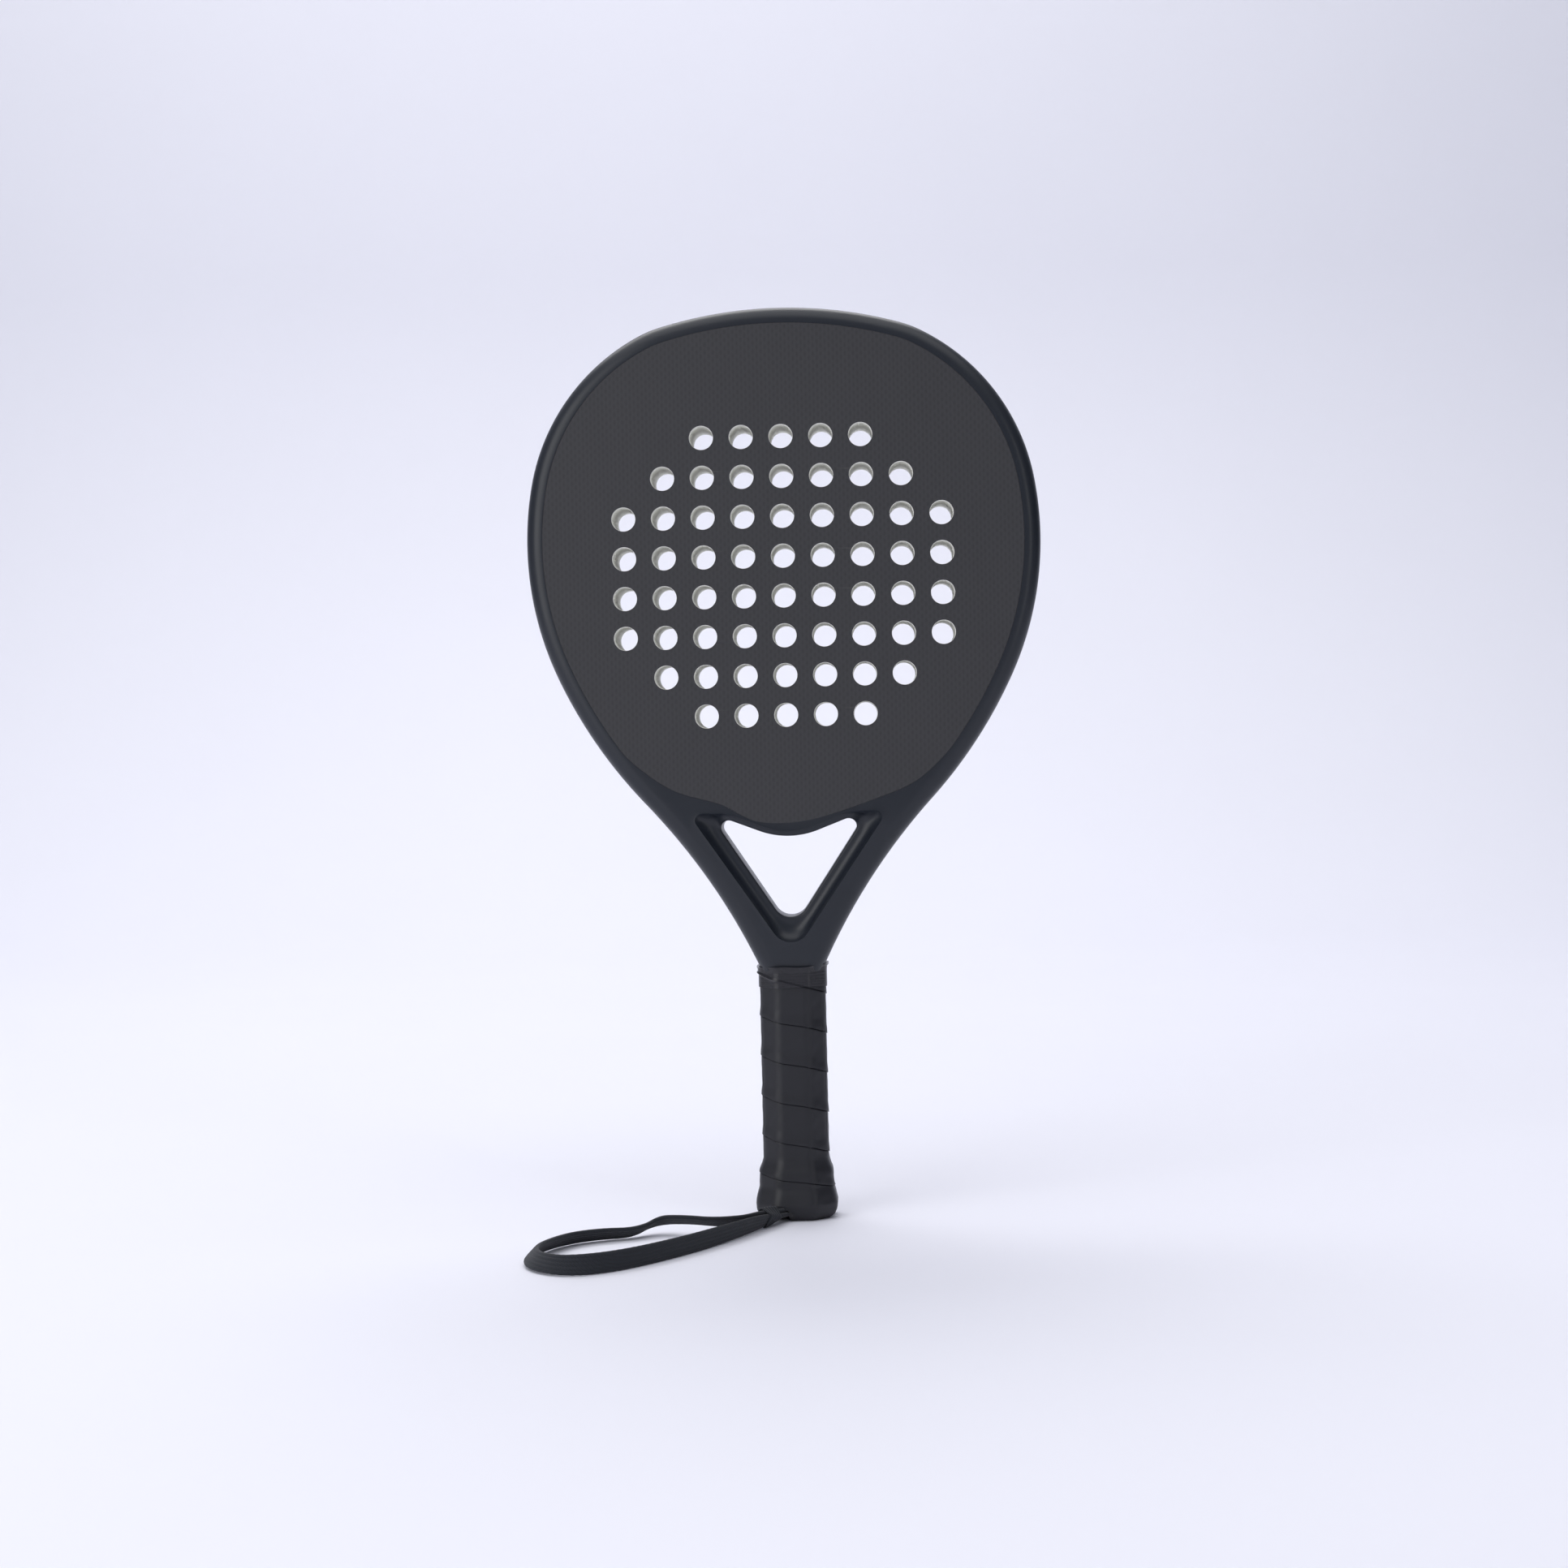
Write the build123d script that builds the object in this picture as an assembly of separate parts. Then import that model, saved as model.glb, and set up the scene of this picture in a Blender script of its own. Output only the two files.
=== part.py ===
from build123d import *
import math
import os

# Padel racket standing on its butt, in millimetres.
# +X is the width, +Z runs up the handle to the crown, the front face looks towards -Y.
# The origin is the middle of the butt's underside.

# ---- head, throat and neck ----
LENGTH = 455.0
HEAD_THICKNESS = 38.0
RIM_RADIUS = 8.0

# Right half of the outline from the crown down: radius and turn in degrees.
# The last arc has a negative radius because it bends away from the head.
OUTLINE_ARCS = [(215, 16.3), (55, 10.4), (104, 52.5), (161, 35.6), (236, 18.1), (-314, 18.1)]
NECK_RADIUS = 30.0
SIDE_PROFILE = [(12.3, 100), (12.3, 117), (14.4, 127.5), (19, 200), (19, 470)]
SIDE_PROFILE_RADIUS = 45.0

# Throat opening and the scooped recess round it: the middle of the upper edge,
# an upper corner and the lower corner, with the radius at each.
OPENING_CORNERS = [(0, 189.6), (40, 205), (0, 144.5)]
OPENING_RADII = [41, 4, 9]
RECESS_CORNERS = [(0, 188.9), (52, 208), (0, 131.7)]
RECESS_RADII = [41, 3.5, 10]
RECESS_DEPTH = 5.0
RECESS_TAPER = 38.0

# ---- face laminate and core ----
SKIN_THICKNESS = 0.6
PLY_THICKNESS = 0.6
FACE_INSET = 8.4
CORE_INSET = 13.0
FACE_LAST_TURN = 11.0
FACE_BOTTOM = [(73, 226), (61.5, 217.3), (46, 211), (25, 204), (10, 200.2), (-4, 199),
               (-16, 200.1), (-24.5, 203.9), (-34, 208.9), (-52, 214.1), (-62.5, 219.2), (-75, 228.5)]
CORE_BOTTOM = [(66, 227.5), (48, 218), (24, 209.5), (0, 206), (-24, 209.5), (-48, 218), (-66, 227.5)]

# ---- air holes ----
HOLE_DIAMETER = 11.7
HOLE_PITCH = 19.7
HOLE_ROWS = [5, 7, 9, 9, 9, 9, 7, 5]
HOLE_GRID_MIDDLE = 321.6

# ---- frame tube and bridge ----
TUBE_WALL = 2.0
TUBE_FACE_WALL = 4.0
CORE_SEAT_WALL = 3.2
BRIDGE_CORNERS = [(60, 228), (33.8, 196), (20, 180)]
BRIDGE_FOAM_SIZE = (44, 26, 6.9)
BRIDGE_FOAM_LIFT = 6.9
THROAT_WEB_TOP = 150.0

# ---- handle, as half width and half depth of an eight-sided section ----
SHELL = (14.3, 12.3)
LEG = (11.8, 9.8)
BASE_GRIP = (15.9, 13.9)
OVER_GRIP = (16.8, 14.8)
FLAT_SHARE = 0.48
HANDLE_BOTTOM = 19.0
LEG_GAP = 3.0
LEG_GAP_TOP = 106.0
CLEAR = 50.0

# ---- butt cap ----
CAP_HEIGHT = 28.0
CAP_SECTIONS = [(0, 16.2), (2.5, 19.0), (6.2, 19.7), (14, 18.0), (19, 17.7), (CAP_HEIGHT, BASE_GRIP[0])]
WIDTH_OVER_DEPTH = 2.0
CHANNEL_HEIGHT = 10.8
CHANNEL_WIDTH = 7.2
CAP_RECESS_RADIUS = 8.5
CAP_WEB = 1.8
KNOT_CHAMBER_RADIUS = 9.0
STEM_HALF_LENGTH = 4.0
STEM_WIDTH = 5.6
STEM_BOTTOM = 0.9
STEM_PLAY = 0.2
KNOT_RADIUS = 7.5
KNOT_HEIGHT = 5.8
KNOT_ROUNDING = 2.4

# ---- fixings inside the grip ----
STAPLE_HEIGHT = 23.5
STAPLE_SPAN = 8.0
STAPLE_CROWN_X = 16.0
STAPLE_LEG = 3.4
STAPLE_WIRE = 0.8
TACK_HEIGHT = 34.0
TACK_HEAD = (2.6, 0.5)
TACK_SHANK = (0.6, 3.4)

# ---- grips and tape ----
GRIP_THICKNESS = 0.9
GRIP_BOTTOM = 1.2
GRIP_FOOT_FLARE = 1.6
GRIP_TOP = 124.0
BASE_GRIP_TOP = 116.0
TAPE_SECTIONS = [(115.5, 17.1), (121, 17.1), (127.5, 17.6)]

# ---- wrist strap ----
STRAP_WIDTH = 9.6
STRAP_THICKNESS = 2.4
STRAP_MIDDLE_Z = 5.7
STRAP_OFFSET = 1.35
STRAP_ANGLE = 24.8
STRAP_ROOT = 5.0
STRAP_NEAR_LEG = 42.0
STRAP_FAR_LEG = 47.0
STRAP_LOOP = [(-30, -65), (-52, -99.5), (-79, -131.5), (-101, -141.5), (-117, -128), (-122, -107),
              (-115.5, -85), (-106, -69), (-93, -61), (-77, -55.5), (-67, -44.5), (-53, -48.5), (-37, -50)]
KEEPER_LENGTH = 11.0
KEEPER_MIDDLE = 32.0
KEEPER_INSIDE = (6.4, 9.9)
KEEPER_WALL = 0.7
KEEPER_ROUNDING = 1.2
BEND_SHARE = 0.45

EXIT = Vector(-math.sin(math.radians(STRAP_ANGLE)), -math.cos(math.radians(STRAP_ANGLE)), 0)
ACROSS = Vector(-EXIT.Y, EXIT.X, 0)


# ---- outline and regions, drawn in the XZ plane ----

def side_arcs(inset, arcs):
    """Right-hand arcs of the outline moved inwards by inset, with the end point and heading."""
    edges = []
    point = Vector(0, LENGTH - inset)
    heading = 0.0
    for radius, turn in arcs:
        angle = math.radians(heading)
        direction = Vector(math.cos(angle), -math.sin(angle))
        bend = math.copysign(turn, radius)
        arc = JernArc(point, direction, abs(radius - inset), -bend)
        edges.append(arc)
        point = arc @ 1
        heading += bend
    return edges, point, heading


def mirrored(edges):
    return edges + [mirror(edge, about=Plane.YZ) for edge in edges]


def racket_outline(inset):
    """Head, throat and neck down to where the handle starts."""
    neck_turn = sum(math.copysign(turn, radius) for radius, turn in OUTLINE_ARCS) - 90
    arcs = OUTLINE_ARCS + [(-NECK_RADIUS, neck_turn)]
    edges, end, _ = side_arcs(inset, arcs)
    bottom = Line(end, (-end.X, end.Y))
    return make_face(mirrored(edges) + [bottom]), end


def head_region(inset, bottom_points):
    """The head inside the rim: concentric with the outline, closed by a curved lower edge."""
    arcs = OUTLINE_ARCS[:4] + [(OUTLINE_ARCS[4][0], FACE_LAST_TURN)]
    edges, end, heading = side_arcs(inset, arcs)
    angle = math.radians(heading)
    down = Vector(math.cos(angle), -math.sin(angle))
    up = Vector(down.X, -down.Y)
    bottom = Spline([end, *bottom_points, (-end.X, end.Y)], tangents=[down, up])
    return make_face(mirrored(edges) + [bottom])


def rounded_triangle(corners, radii):
    """Three-cornered throat shape with a sagging upper edge and rounded corners."""
    middle, corner, foot = corners
    points = [middle, corner, foot, (-corner[0], corner[1])]
    shape = make_face(Polyline(*points, close=True))
    for point, radius in zip(points, [*radii, radii[1]]):
        vertex = shape.vertices().sort_by_distance((*point, 0))[0]
        shape = fillet(vertex, radius)
    return shape


def bridge_region():
    points = BRIDGE_CORNERS + [(-x, z) for x, z in reversed(BRIDGE_CORNERS)]
    return make_face(Polyline(*points, close=True))


def plate(region, y_from, y_to):
    """A region of the XZ plane made solid between two depths."""
    return extrude(Plane.XZ.offset(-y_from) * region, amount=y_from - y_to)


def through(region):
    return plate(region, -HEAD_THICKNESS, HEAD_THICKNESS)


# ---- sections of the handle ----

def octagon(half_width, half_depth):
    flat_x = half_width * FLAT_SHARE
    flat_y = half_depth * FLAT_SHARE
    quarter = [(flat_x, half_depth), (half_width, flat_y)]
    points = quarter + [(x, -y) for x, y in reversed(quarter)]
    points += [(-x, -y) for x, y in quarter] + [(-x, y) for x, y in reversed(quarter)]
    return make_face(Polyline(*points, close=True))


def handle_prism(section, bottom, top):
    return extrude(Pos(0, 0, bottom) * octagon(*section), amount=top - bottom)


def handle_loft(sections):
    faces = [Pos(0, 0, z) * octagon(half, half - WIDTH_OVER_DEPTH) for z, half in sections]
    return loft(faces, ruled=True)


def box_between(low, high):
    size = [b - a for a, b in zip(low, high)]
    return Pos(*low) * Box(*size, align=(Align.MIN, Align.MIN, Align.MIN))


# ---- shared solids ----

def side_profile(inset):
    """Thickness seen from the side: full in the head, thinning through the throat."""
    right = [(y - inset, z) for y, z in SIDE_PROFILE]
    curve = FilletPolyline(*right, radius=SIDE_PROFILE_RADIUS)
    closing = Polyline(right[-1], (-right[-1][0], right[-1][1]))
    foot = Polyline(right[0], (-right[0][0], right[0][1]))
    face = make_face([curve, mirror(curve, about=Plane.YZ), closing, foot])
    return extrude(Plane.YZ * face, amount=LENGTH, both=True)


def round_rims(body, radius):
    """Round the long edges where the side wall meets the two faces."""
    rims = [
        edge for edge in body.edges()
        if abs(edge.center().X) > 1 and abs(edge.center().Y) > SHELL[1] / 2
    ]
    return fillet(rims, radius)


def envelope():
    """Outer skin of head, throat and neck, and the height where the neck ends."""
    outline, neck = racket_outline(0)
    return round_rims(through(outline) & side_profile(0), RIM_RADIUS), neck.Y


def tube_bore():
    """The hollow that the tube's wall leaves, before the head and the throat are taken out."""
    outline, _ = racket_outline(TUBE_WALL)
    half = HEAD_THICKNESS / 2 - TUBE_WALL
    block = round_rims(plate(outline, -half, half), RIM_RADIUS - TUBE_WALL)
    return block & side_profile(TUBE_FACE_WALL)


def recess_pockets():
    region = rounded_triangle(RECESS_CORNERS, RECESS_RADII)
    half = HEAD_THICKNESS / 2
    front = extrude(Plane.XZ.offset(half) * region, amount=-RECESS_DEPTH, taper=RECESS_TAPER)
    return front + mirror(front, about=Plane.XZ)


def air_holes():
    """The drilled grid: rows from the top down, each centred on the axis."""
    places = []
    for row, count in enumerate(HOLE_ROWS):
        z = HOLE_GRID_MIDDLE + ((len(HOLE_ROWS) - 1) / 2 - row) * HOLE_PITCH
        for column in range(count):
            places.append(((column - (count - 1) / 2) * HOLE_PITCH, z))
    holes = Sketch() + [Pos(x, z) * Circle(HOLE_DIAMETER / 2) for x, z in places]
    return through(holes)


def strap_frame(distance, height):
    """Location on the straight stretch of the strap, with X along it and Z up."""
    origin = EXIT * distance + Vector(0, 0, height)
    return Plane(origin=origin, x_dir=EXIT, z_dir=(0, 0, 1))


def strap_box(start, end, width, bottom, top):
    """A block along the strap's exit direction, between two distances and two heights."""
    place = strap_frame((start + end) / 2, (bottom + top) / 2)
    return place * Box(end - start, width, top - bottom)


def strap_channel():
    slot = strap_box(0, CLEAR, CHANNEL_WIDTH, -1, CHANNEL_HEIGHT)
    well = extrude(Pos(0, 0, -1) * Circle(CAP_RECESS_RADIUS), amount=CHANNEL_HEIGHT + 1)
    return slot + well


# ---- pieces ----

def make_laminate(holes):
    """Skins and backing plies on both faces, from the outside in."""
    region = head_region(FACE_INSET, FACE_BOTTOM)
    face = HEAD_THICKNESS / 2
    skin = plate(region, -face, -face + SKIN_THICKNESS)
    ply = plate(region, -face + SKIN_THICKNESS, -face + SKIN_THICKNESS + PLY_THICKNESS)
    front_skin = skin - holes
    front_ply = ply - holes
    rebates = skin + ply
    rebates += mirror(rebates, about=Plane.XZ)
    pieces = {
        "front_face_skin": front_skin,
        "rear_face_skin": mirror(front_skin, about=Plane.XZ),
        "front_backing_ply": front_ply,
        "rear_backing_ply": mirror(front_ply, about=Plane.XZ),
    }
    return pieces, rebates


def make_core(holes):
    half = HEAD_THICKNESS / 2 - SKIN_THICKNESS - PLY_THICKNESS
    return plate(head_region(CORE_INSET, CORE_BOTTOM), -half, half) - holes


def make_frame(rebates):
    """The tube round the head, its arms and legs, and the bridge under the head."""
    outer, neck_z = envelope()
    outer -= through(rounded_triangle(OPENING_CORNERS, OPENING_RADII))
    outer -= recess_pockets()
    outer -= through(head_region(CORE_INSET, CORE_BOTTOM)) + rebates
    bridge_zone = through(bridge_region())
    bridge = outer & bridge_zone

    legs = handle_prism(LEG, HANDLE_BOTTOM, neck_z)
    gap = box_between((-LEG_GAP / 2, -CLEAR, 0), (LEG_GAP / 2, CLEAR, LEG_GAP_TOP))
    tube = outer - bridge_zone + legs - gap

    cavity = tube_bore()
    below_core = [(x, z - CORE_SEAT_WALL) for x, z in CORE_BOTTOM]
    cavity -= through(head_region(CORE_INSET - TUBE_WALL, below_core))
    cavity -= through(offset(bridge_region(), TUBE_WALL, kind=Kind.INTERSECTION))
    recess = rounded_triangle(RECESS_CORNERS, RECESS_RADII)
    cavity -= through(offset(recess, TUBE_WALL))
    leg_inside = tuple(half - TUBE_WALL for half in LEG)
    cavity += handle_prism(leg_inside, HANDLE_BOTTOM, neck_z + TUBE_WALL)
    web = LEG_GAP / 2 + TUBE_WALL
    cavity -= box_between((-web, -CLEAR, 0), (web, CLEAR, THROAT_WEB_TOP))

    return tube - cavity, cavity, bridge, neck_z


def make_bridge_foam(bridge):
    """Foam block inside the bridge, between the throat opening and the core."""
    width, depth, height = BRIDGE_FOAM_SIZE
    middle = OPENING_CORNERS[0][1] + BRIDGE_FOAM_LIFT + height / 2
    return Pos(0, 0, middle) * Box(width, depth, height) & bridge


def make_handle(neck_z):
    """Front and rear shells round the tube's legs, and the strip between the legs."""
    sleeve = handle_prism(SHELL, HANDLE_BOTTOM, neck_z) - handle_prism(LEG, 0, LENGTH)
    front = sleeve & box_between((-CLEAR, -CLEAR, 0), (CLEAR, 0, LENGTH))
    rear = sleeve & box_between((-CLEAR, 0, 0), (CLEAR, CLEAR, LENGTH))
    leg_block = handle_prism(LEG, HANDLE_BOTTOM, LEG_GAP_TOP)
    filler = leg_block & box_between((-LEG_GAP / 2, -CLEAR, 0), (LEG_GAP / 2, CLEAR, LENGTH))
    return front, rear, filler


def make_cap(outer):
    """Flared foot: socket for the shells, knot chamber, web, and the strap's way out below."""
    web_top = CHANNEL_HEIGHT + CAP_WEB
    cap = outer - strap_channel()
    cap -= handle_prism(SHELL, HANDLE_BOTTOM, LENGTH)
    cap -= Pos(0, 0, web_top) * extrude(Circle(KNOT_CHAMBER_RADIUS), amount=HANDLE_BOTTOM - web_top)
    reach = STEM_HALF_LENGTH + STEM_PLAY
    cap -= strap_box(-reach, reach, STEM_WIDTH + 2 * STEM_PLAY, 0, web_top + 1)
    return cap


def make_knot():
    """The doubled strap going up through the web, and the knot above it."""
    web_top = CHANNEL_HEIGHT + CAP_WEB
    root = strap_box(-STEM_HALF_LENGTH, STRAP_ROOT, STEM_WIDTH, STEM_BOTTOM, CHANNEL_HEIGHT - STEM_PLAY)
    stem = strap_box(-STEM_HALF_LENGTH, STEM_HALF_LENGTH, STEM_WIDTH, STEM_BOTTOM, web_top + 1)
    head = Pos(0, 0, web_top + STEM_PLAY / 2) * extrude(Circle(KNOT_RADIUS), amount=KNOT_HEIGHT)
    return root + stem + fillet(head.edges(), KNOT_ROUNDING)


def make_staples():
    """Two wire staples through the cap's skirt into the shells, one on each side."""
    wire = STAPLE_WIRE
    crown = Pos(STAPLE_CROWN_X, 0, STAPLE_HEIGHT) * Box(wire, STAPLE_SPAN + wire, wire)
    leg_x = STAPLE_CROWN_X - STAPLE_LEG / 2
    legs = [
        Pos(leg_x, y, STAPLE_HEIGHT) * Box(STAPLE_LEG, wire, wire)
        for y in (-STAPLE_SPAN / 2, STAPLE_SPAN / 2)
    ]
    staple = crown + legs
    return staple + mirror(staple, about=Plane.YZ)


def make_tack():
    """Small nail that starts the grip strip on the front shell."""
    face = -BASE_GRIP[1]
    head = Cylinder(*TACK_HEAD, rotation=(90, 0, 0))
    shank = Cylinder(*TACK_SHANK, rotation=(90, 0, 0))
    tack = Pos(0, face + TACK_HEAD[1] / 2, TACK_HEIGHT) * head
    return tack + Pos(0, face + TACK_SHANK[1] / 2, TACK_HEIGHT) * shank


def strap_route():
    """Points of the strap's middle line, from its near leg round the loop to its far leg."""
    side = ACROSS * STRAP_OFFSET
    near = [EXIT * STRAP_ROOT + side, EXIT * STRAP_NEAR_LEG + side]
    far = [EXIT * STRAP_FAR_LEG - side, EXIT * STRAP_ROOT - side]
    points = near + [Vector(x, y) for x, y in STRAP_LOOP] + far
    return [Vector(p.X, p.Y, STRAP_MIDDLE_Z) for p in points]


def bend_radii(points):
    """Radius at each inner point that uses a fixed share of its shorter neighbouring run."""
    radii = []
    for before, here, after in zip(points, points[1:], points[2:]):
        run_in = here - before
        run_out = after - here
        half_turn = math.radians(run_in.get_angle(run_out)) / 2
        radii.append(BEND_SHARE * min(run_in.length, run_out.length) / math.tan(half_turn))
    return radii


def make_strap():
    """Flat braid standing on its edge, swept round the loop."""
    points = strap_route()
    radii = bend_radii(points)
    path = FilletPolyline(*points, radius=radii)
    start = Plane(origin=path @ 0, x_dir=ACROSS, z_dir=path % 0)
    strap = sweep(start * Rectangle(STRAP_THICKNESS, STRAP_WIDTH), path=path)
    section = STRAP_THICKNESS * STRAP_WIDTH
    print("strap length", round(path.length, 1), "radii", [round(radius, 1) for radius in radii])
    print("strap volume over section times length", round(strap.volume / (section * path.length), 4))
    return strap


def make_keeper():
    """Short sleeve round both legs of the strap."""
    inside_width, inside_height = KEEPER_INSIDE
    place = strap_frame(KEEPER_MIDDLE, STRAP_MIDDLE_Z)
    outside = Box(KEEPER_LENGTH, inside_width + 2 * KEEPER_WALL, inside_height + 2 * KEEPER_WALL)
    lengthwise = outside.edges().filter_by(Axis.X)
    inside = Box(KEEPER_LENGTH + 1, inside_width, inside_height)
    return place * (fillet(lengthwise, KEEPER_ROUNDING) - inside)


def make_all():
    holes = air_holes()
    pieces, rebates = make_laminate(holes)
    pieces["eva_core"] = make_core(holes)

    tube, tube_foam, bridge, neck_z = make_frame(rebates)
    bridge_foam = make_bridge_foam(bridge)
    pieces["frame_tube"] = tube
    pieces["frame_foam"] = tube_foam
    pieces["throat_bridge"] = bridge - bridge_foam
    pieces["bridge_foam"] = bridge_foam

    neck, _ = envelope()
    front_shell, rear_shell, filler = make_handle(neck_z)
    cap_outer = handle_loft(CAP_SECTIONS)
    staples = make_staples()
    tack = make_tack()
    pieces["handle_shell_front"] = front_shell - staples - tack
    pieces["handle_shell_rear"] = rear_shell - staples
    pieces["handle_filler"] = filler
    pieces["butt_cap"] = make_cap(cap_outer) - staples
    pieces["butt_cap_staples"] = staples
    pieces["grip_tack"] = tack

    base_outer = handle_prism(BASE_GRIP, CAP_HEIGHT, BASE_GRIP_TOP)
    base_grip = base_outer - handle_prism(SHELL, 0, neck_z) - neck - tack
    grip_sections = [(z, half + GRIP_THICKNESS) for z, half in CAP_SECTIONS[1:]]
    grip_sections = [(GRIP_BOTTOM, CAP_SECTIONS[0][1] + GRIP_FOOT_FLARE)] + grip_sections
    grip_outer = handle_loft(grip_sections + [(GRIP_TOP, OVER_GRIP[0])])
    over_grip = grip_outer - cap_outer - base_outer - neck - strap_channel()
    over_grip -= handle_prism(SHELL, 0, neck_z) + tack
    tape = handle_loft(TAPE_SECTIONS) - grip_outer - neck
    pieces["base_grip"] = base_grip
    pieces["over_grip"] = over_grip
    pieces["finishing_tape"] = tape

    pieces["strap_knot"] = make_knot()
    pieces["wrist_strap"] = make_strap()
    pieces["strap_keeper"] = make_keeper()
    return pieces


os.makedirs("parts", exist_ok=True)
for name, shape in make_all().items():
    shape.label = name
    export_step(shape, f"parts/{name}.step")
    print(name, len(shape.solids()), "solid(s)", round(shape.volume), "mm3")
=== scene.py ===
import bpy
import bmesh
import math
import numpy as np
from mathutils import Matrix, Vector, geometry


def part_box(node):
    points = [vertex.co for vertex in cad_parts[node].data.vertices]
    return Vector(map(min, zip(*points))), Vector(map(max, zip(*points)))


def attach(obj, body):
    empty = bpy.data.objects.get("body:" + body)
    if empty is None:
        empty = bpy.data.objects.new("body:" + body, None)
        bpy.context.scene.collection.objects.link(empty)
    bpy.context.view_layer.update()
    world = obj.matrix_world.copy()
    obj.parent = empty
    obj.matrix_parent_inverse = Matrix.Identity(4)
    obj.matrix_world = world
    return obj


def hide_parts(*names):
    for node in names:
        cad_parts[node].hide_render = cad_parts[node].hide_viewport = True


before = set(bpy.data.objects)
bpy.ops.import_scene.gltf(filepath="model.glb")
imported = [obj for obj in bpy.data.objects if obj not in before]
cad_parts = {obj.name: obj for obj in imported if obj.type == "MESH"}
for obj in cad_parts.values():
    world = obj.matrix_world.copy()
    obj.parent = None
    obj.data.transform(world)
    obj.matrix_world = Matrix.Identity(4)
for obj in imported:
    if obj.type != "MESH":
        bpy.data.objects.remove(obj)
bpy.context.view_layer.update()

# Shapes are worked out in millimetres in the part's frame and scaled to metres when a mesh is made.
MM = 0.001

# ---- camera ----
CAMERA_PLACE = (40.2, -1305.4, 244.7)
CAMERA_YAW = 1.87
CAMERA_PITCH = -1.17
CAMERA_ROLL = -1.19
LENS = 59.6
SENSOR = 36.0
CLIP = (0.05, 20)

# ---- studio, in metres ----
PAPER_HALF_WIDTH = 4.0
PAPER_FRONT = -3.5
PAPER_FOOT = 1.5
PAPER_TOP = 3.2
PAPER_BEND = 0.9
PAPER_BEND_STEPS = 24
# Each light's name, its place, the point it faces, its width and height, and its watts.
LIGHTS = [
    ("key", (-1.45, -1.6, 0.8), (0, 0, 0.25), (1.5, 1.8), 19),
    ("fill", (1.6, -1.6, 0.6), (0, 0, 0.2), (0.25, 1.2), 2.8),
    ("overhead", (-0.4, 1.5, 2.6), (-0.2, 0.9, 0), (2.6, 1.6), 40),
    ("front_overhead", (0.1, -0.7, 2.4), (0.1, -0.6, 0), (3.2, 2.0), 24),
]
LIGHT_COLOUR = (1.0, 0.99, 0.98)
# For x, y and z of a direction: where its brightness starts and ends, and how bright it is there.
ROOM_SHADES = [(-1.0, 1.0, 0.20, 0.0), (-1.0, 0.0, 0.22, 0.05), (0.3, 1.0, 0.0, 0.35)]
ROOM_COLOUR = (0.92, 0.95, 1.06, 1)

# ---- moulded frame ----
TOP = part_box("frame_tube")[1].z / MM
FACE_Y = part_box("frame_tube")[1].y / MM
RIM_RADIUS = 8.0
RIM_STEPS = 8
# Radius and turn in degrees of each arc down the right side from the crown; minus is a hollow arc.
OUTLINE_ARCS = [(215, 16.3), (55, 10.4), (104, 52.5), (161, 35.6), (236, 11.0), (236, 7.1),
                (-314, 18.1), (-30, 25.8)]
ARCS_BESIDE_PANEL = 5
OUTLINE_STEP = 2.5
LEAST_ARC_STEPS = 4
# Height and half the thickness there.
SIDE_PROFILE = [(100, 12.3), (117, 12.3), (127.5, 14.4), (200, 19), (470, 19)]
SIDE_SMOOTHING = 7.0
SIDE_SAMPLES = 9
# Corners (x, z) and corner radii of the throat opening and of the ridge round its scoop.
OPENING_CORNERS = [(0, 189.6), (40, 205), (0, 144.5), (-40, 205)]
OPENING_RADII = [41, 4, 9, 4]
RIDGE_CORNERS = [(0, 188.9), (52, 208), (0, 131.7), (-52, 208)]
RIDGE_RADII = [41, 3.5, 10, 3.5]
SCOOP_DEPTH = 5.4
SCOOP_FULL_WIDTH = 7.0
SCOOP_STEEPNESS = 2.7
EDGE_RADIUS = 1.2
RIDGE_SOFTNESS = 0.9
RIDGE_RISE = 0.16
RIDGE_EASING = 1.2
RIDGE_SIDEWAYS_FADE = 6.0
LEAST_SCOOP_WIDTH = 1.7
EDGE_STEPS = 5
# Spacing of the points inside a surface, and how far they keep from its edges.
SCOOP_GRID = (1.3, 0.5)
FLAT_GRID = (3.2, 1.3)
GRID_ROW_SHARE = 0.866
SMALLEST_TRIANGLE = 0.001
CLOSEST_POINTS = 1e-5

# ---- face panels ----
PANEL_INSET = 8.4
# Lower edge of the panel (x, z), from right to left.
PANEL_BOTTOM = [(73, 226), (61.5, 217.3), (46, 211), (25, 204), (10, 200.2), (-4, 199),
                (-16, 200.1), (-24.5, 203.9), (-34, 208.9), (-52, 214.1), (-62.5, 219.2), (-75, 228.5)]
PANEL_THICKNESS = 0.6
PANEL_EDGE = 0.25
CHAMFER_DROP = PANEL_EDGE * 0.6
PANEL_SHARP = 18
HOLE_RADIUS = 5.85
HOLE_LIP = 0.12
# The lip of a hole: how far out from its wall, and how far down from the face.
LIP_PROFILE = [(HOLE_LIP, 0.0), (HOLE_LIP * 0.35, 0.08), (0.08, 0.22), (0.0, 0.4), (0.0, PANEL_THICKNESS)]
HOLE_PITCH = 19.7
HOLE_ROWS = [5, 7, 9, 9, 9, 9, 7, 5]
HOLE_GRID_MIDDLE = 321.6
HOLE_SEGMENTS = 48

# ---- wrapped handle ----
FLAT_SHARE = 0.48
WIDTH_OVER_DEPTH = 2.0
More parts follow.
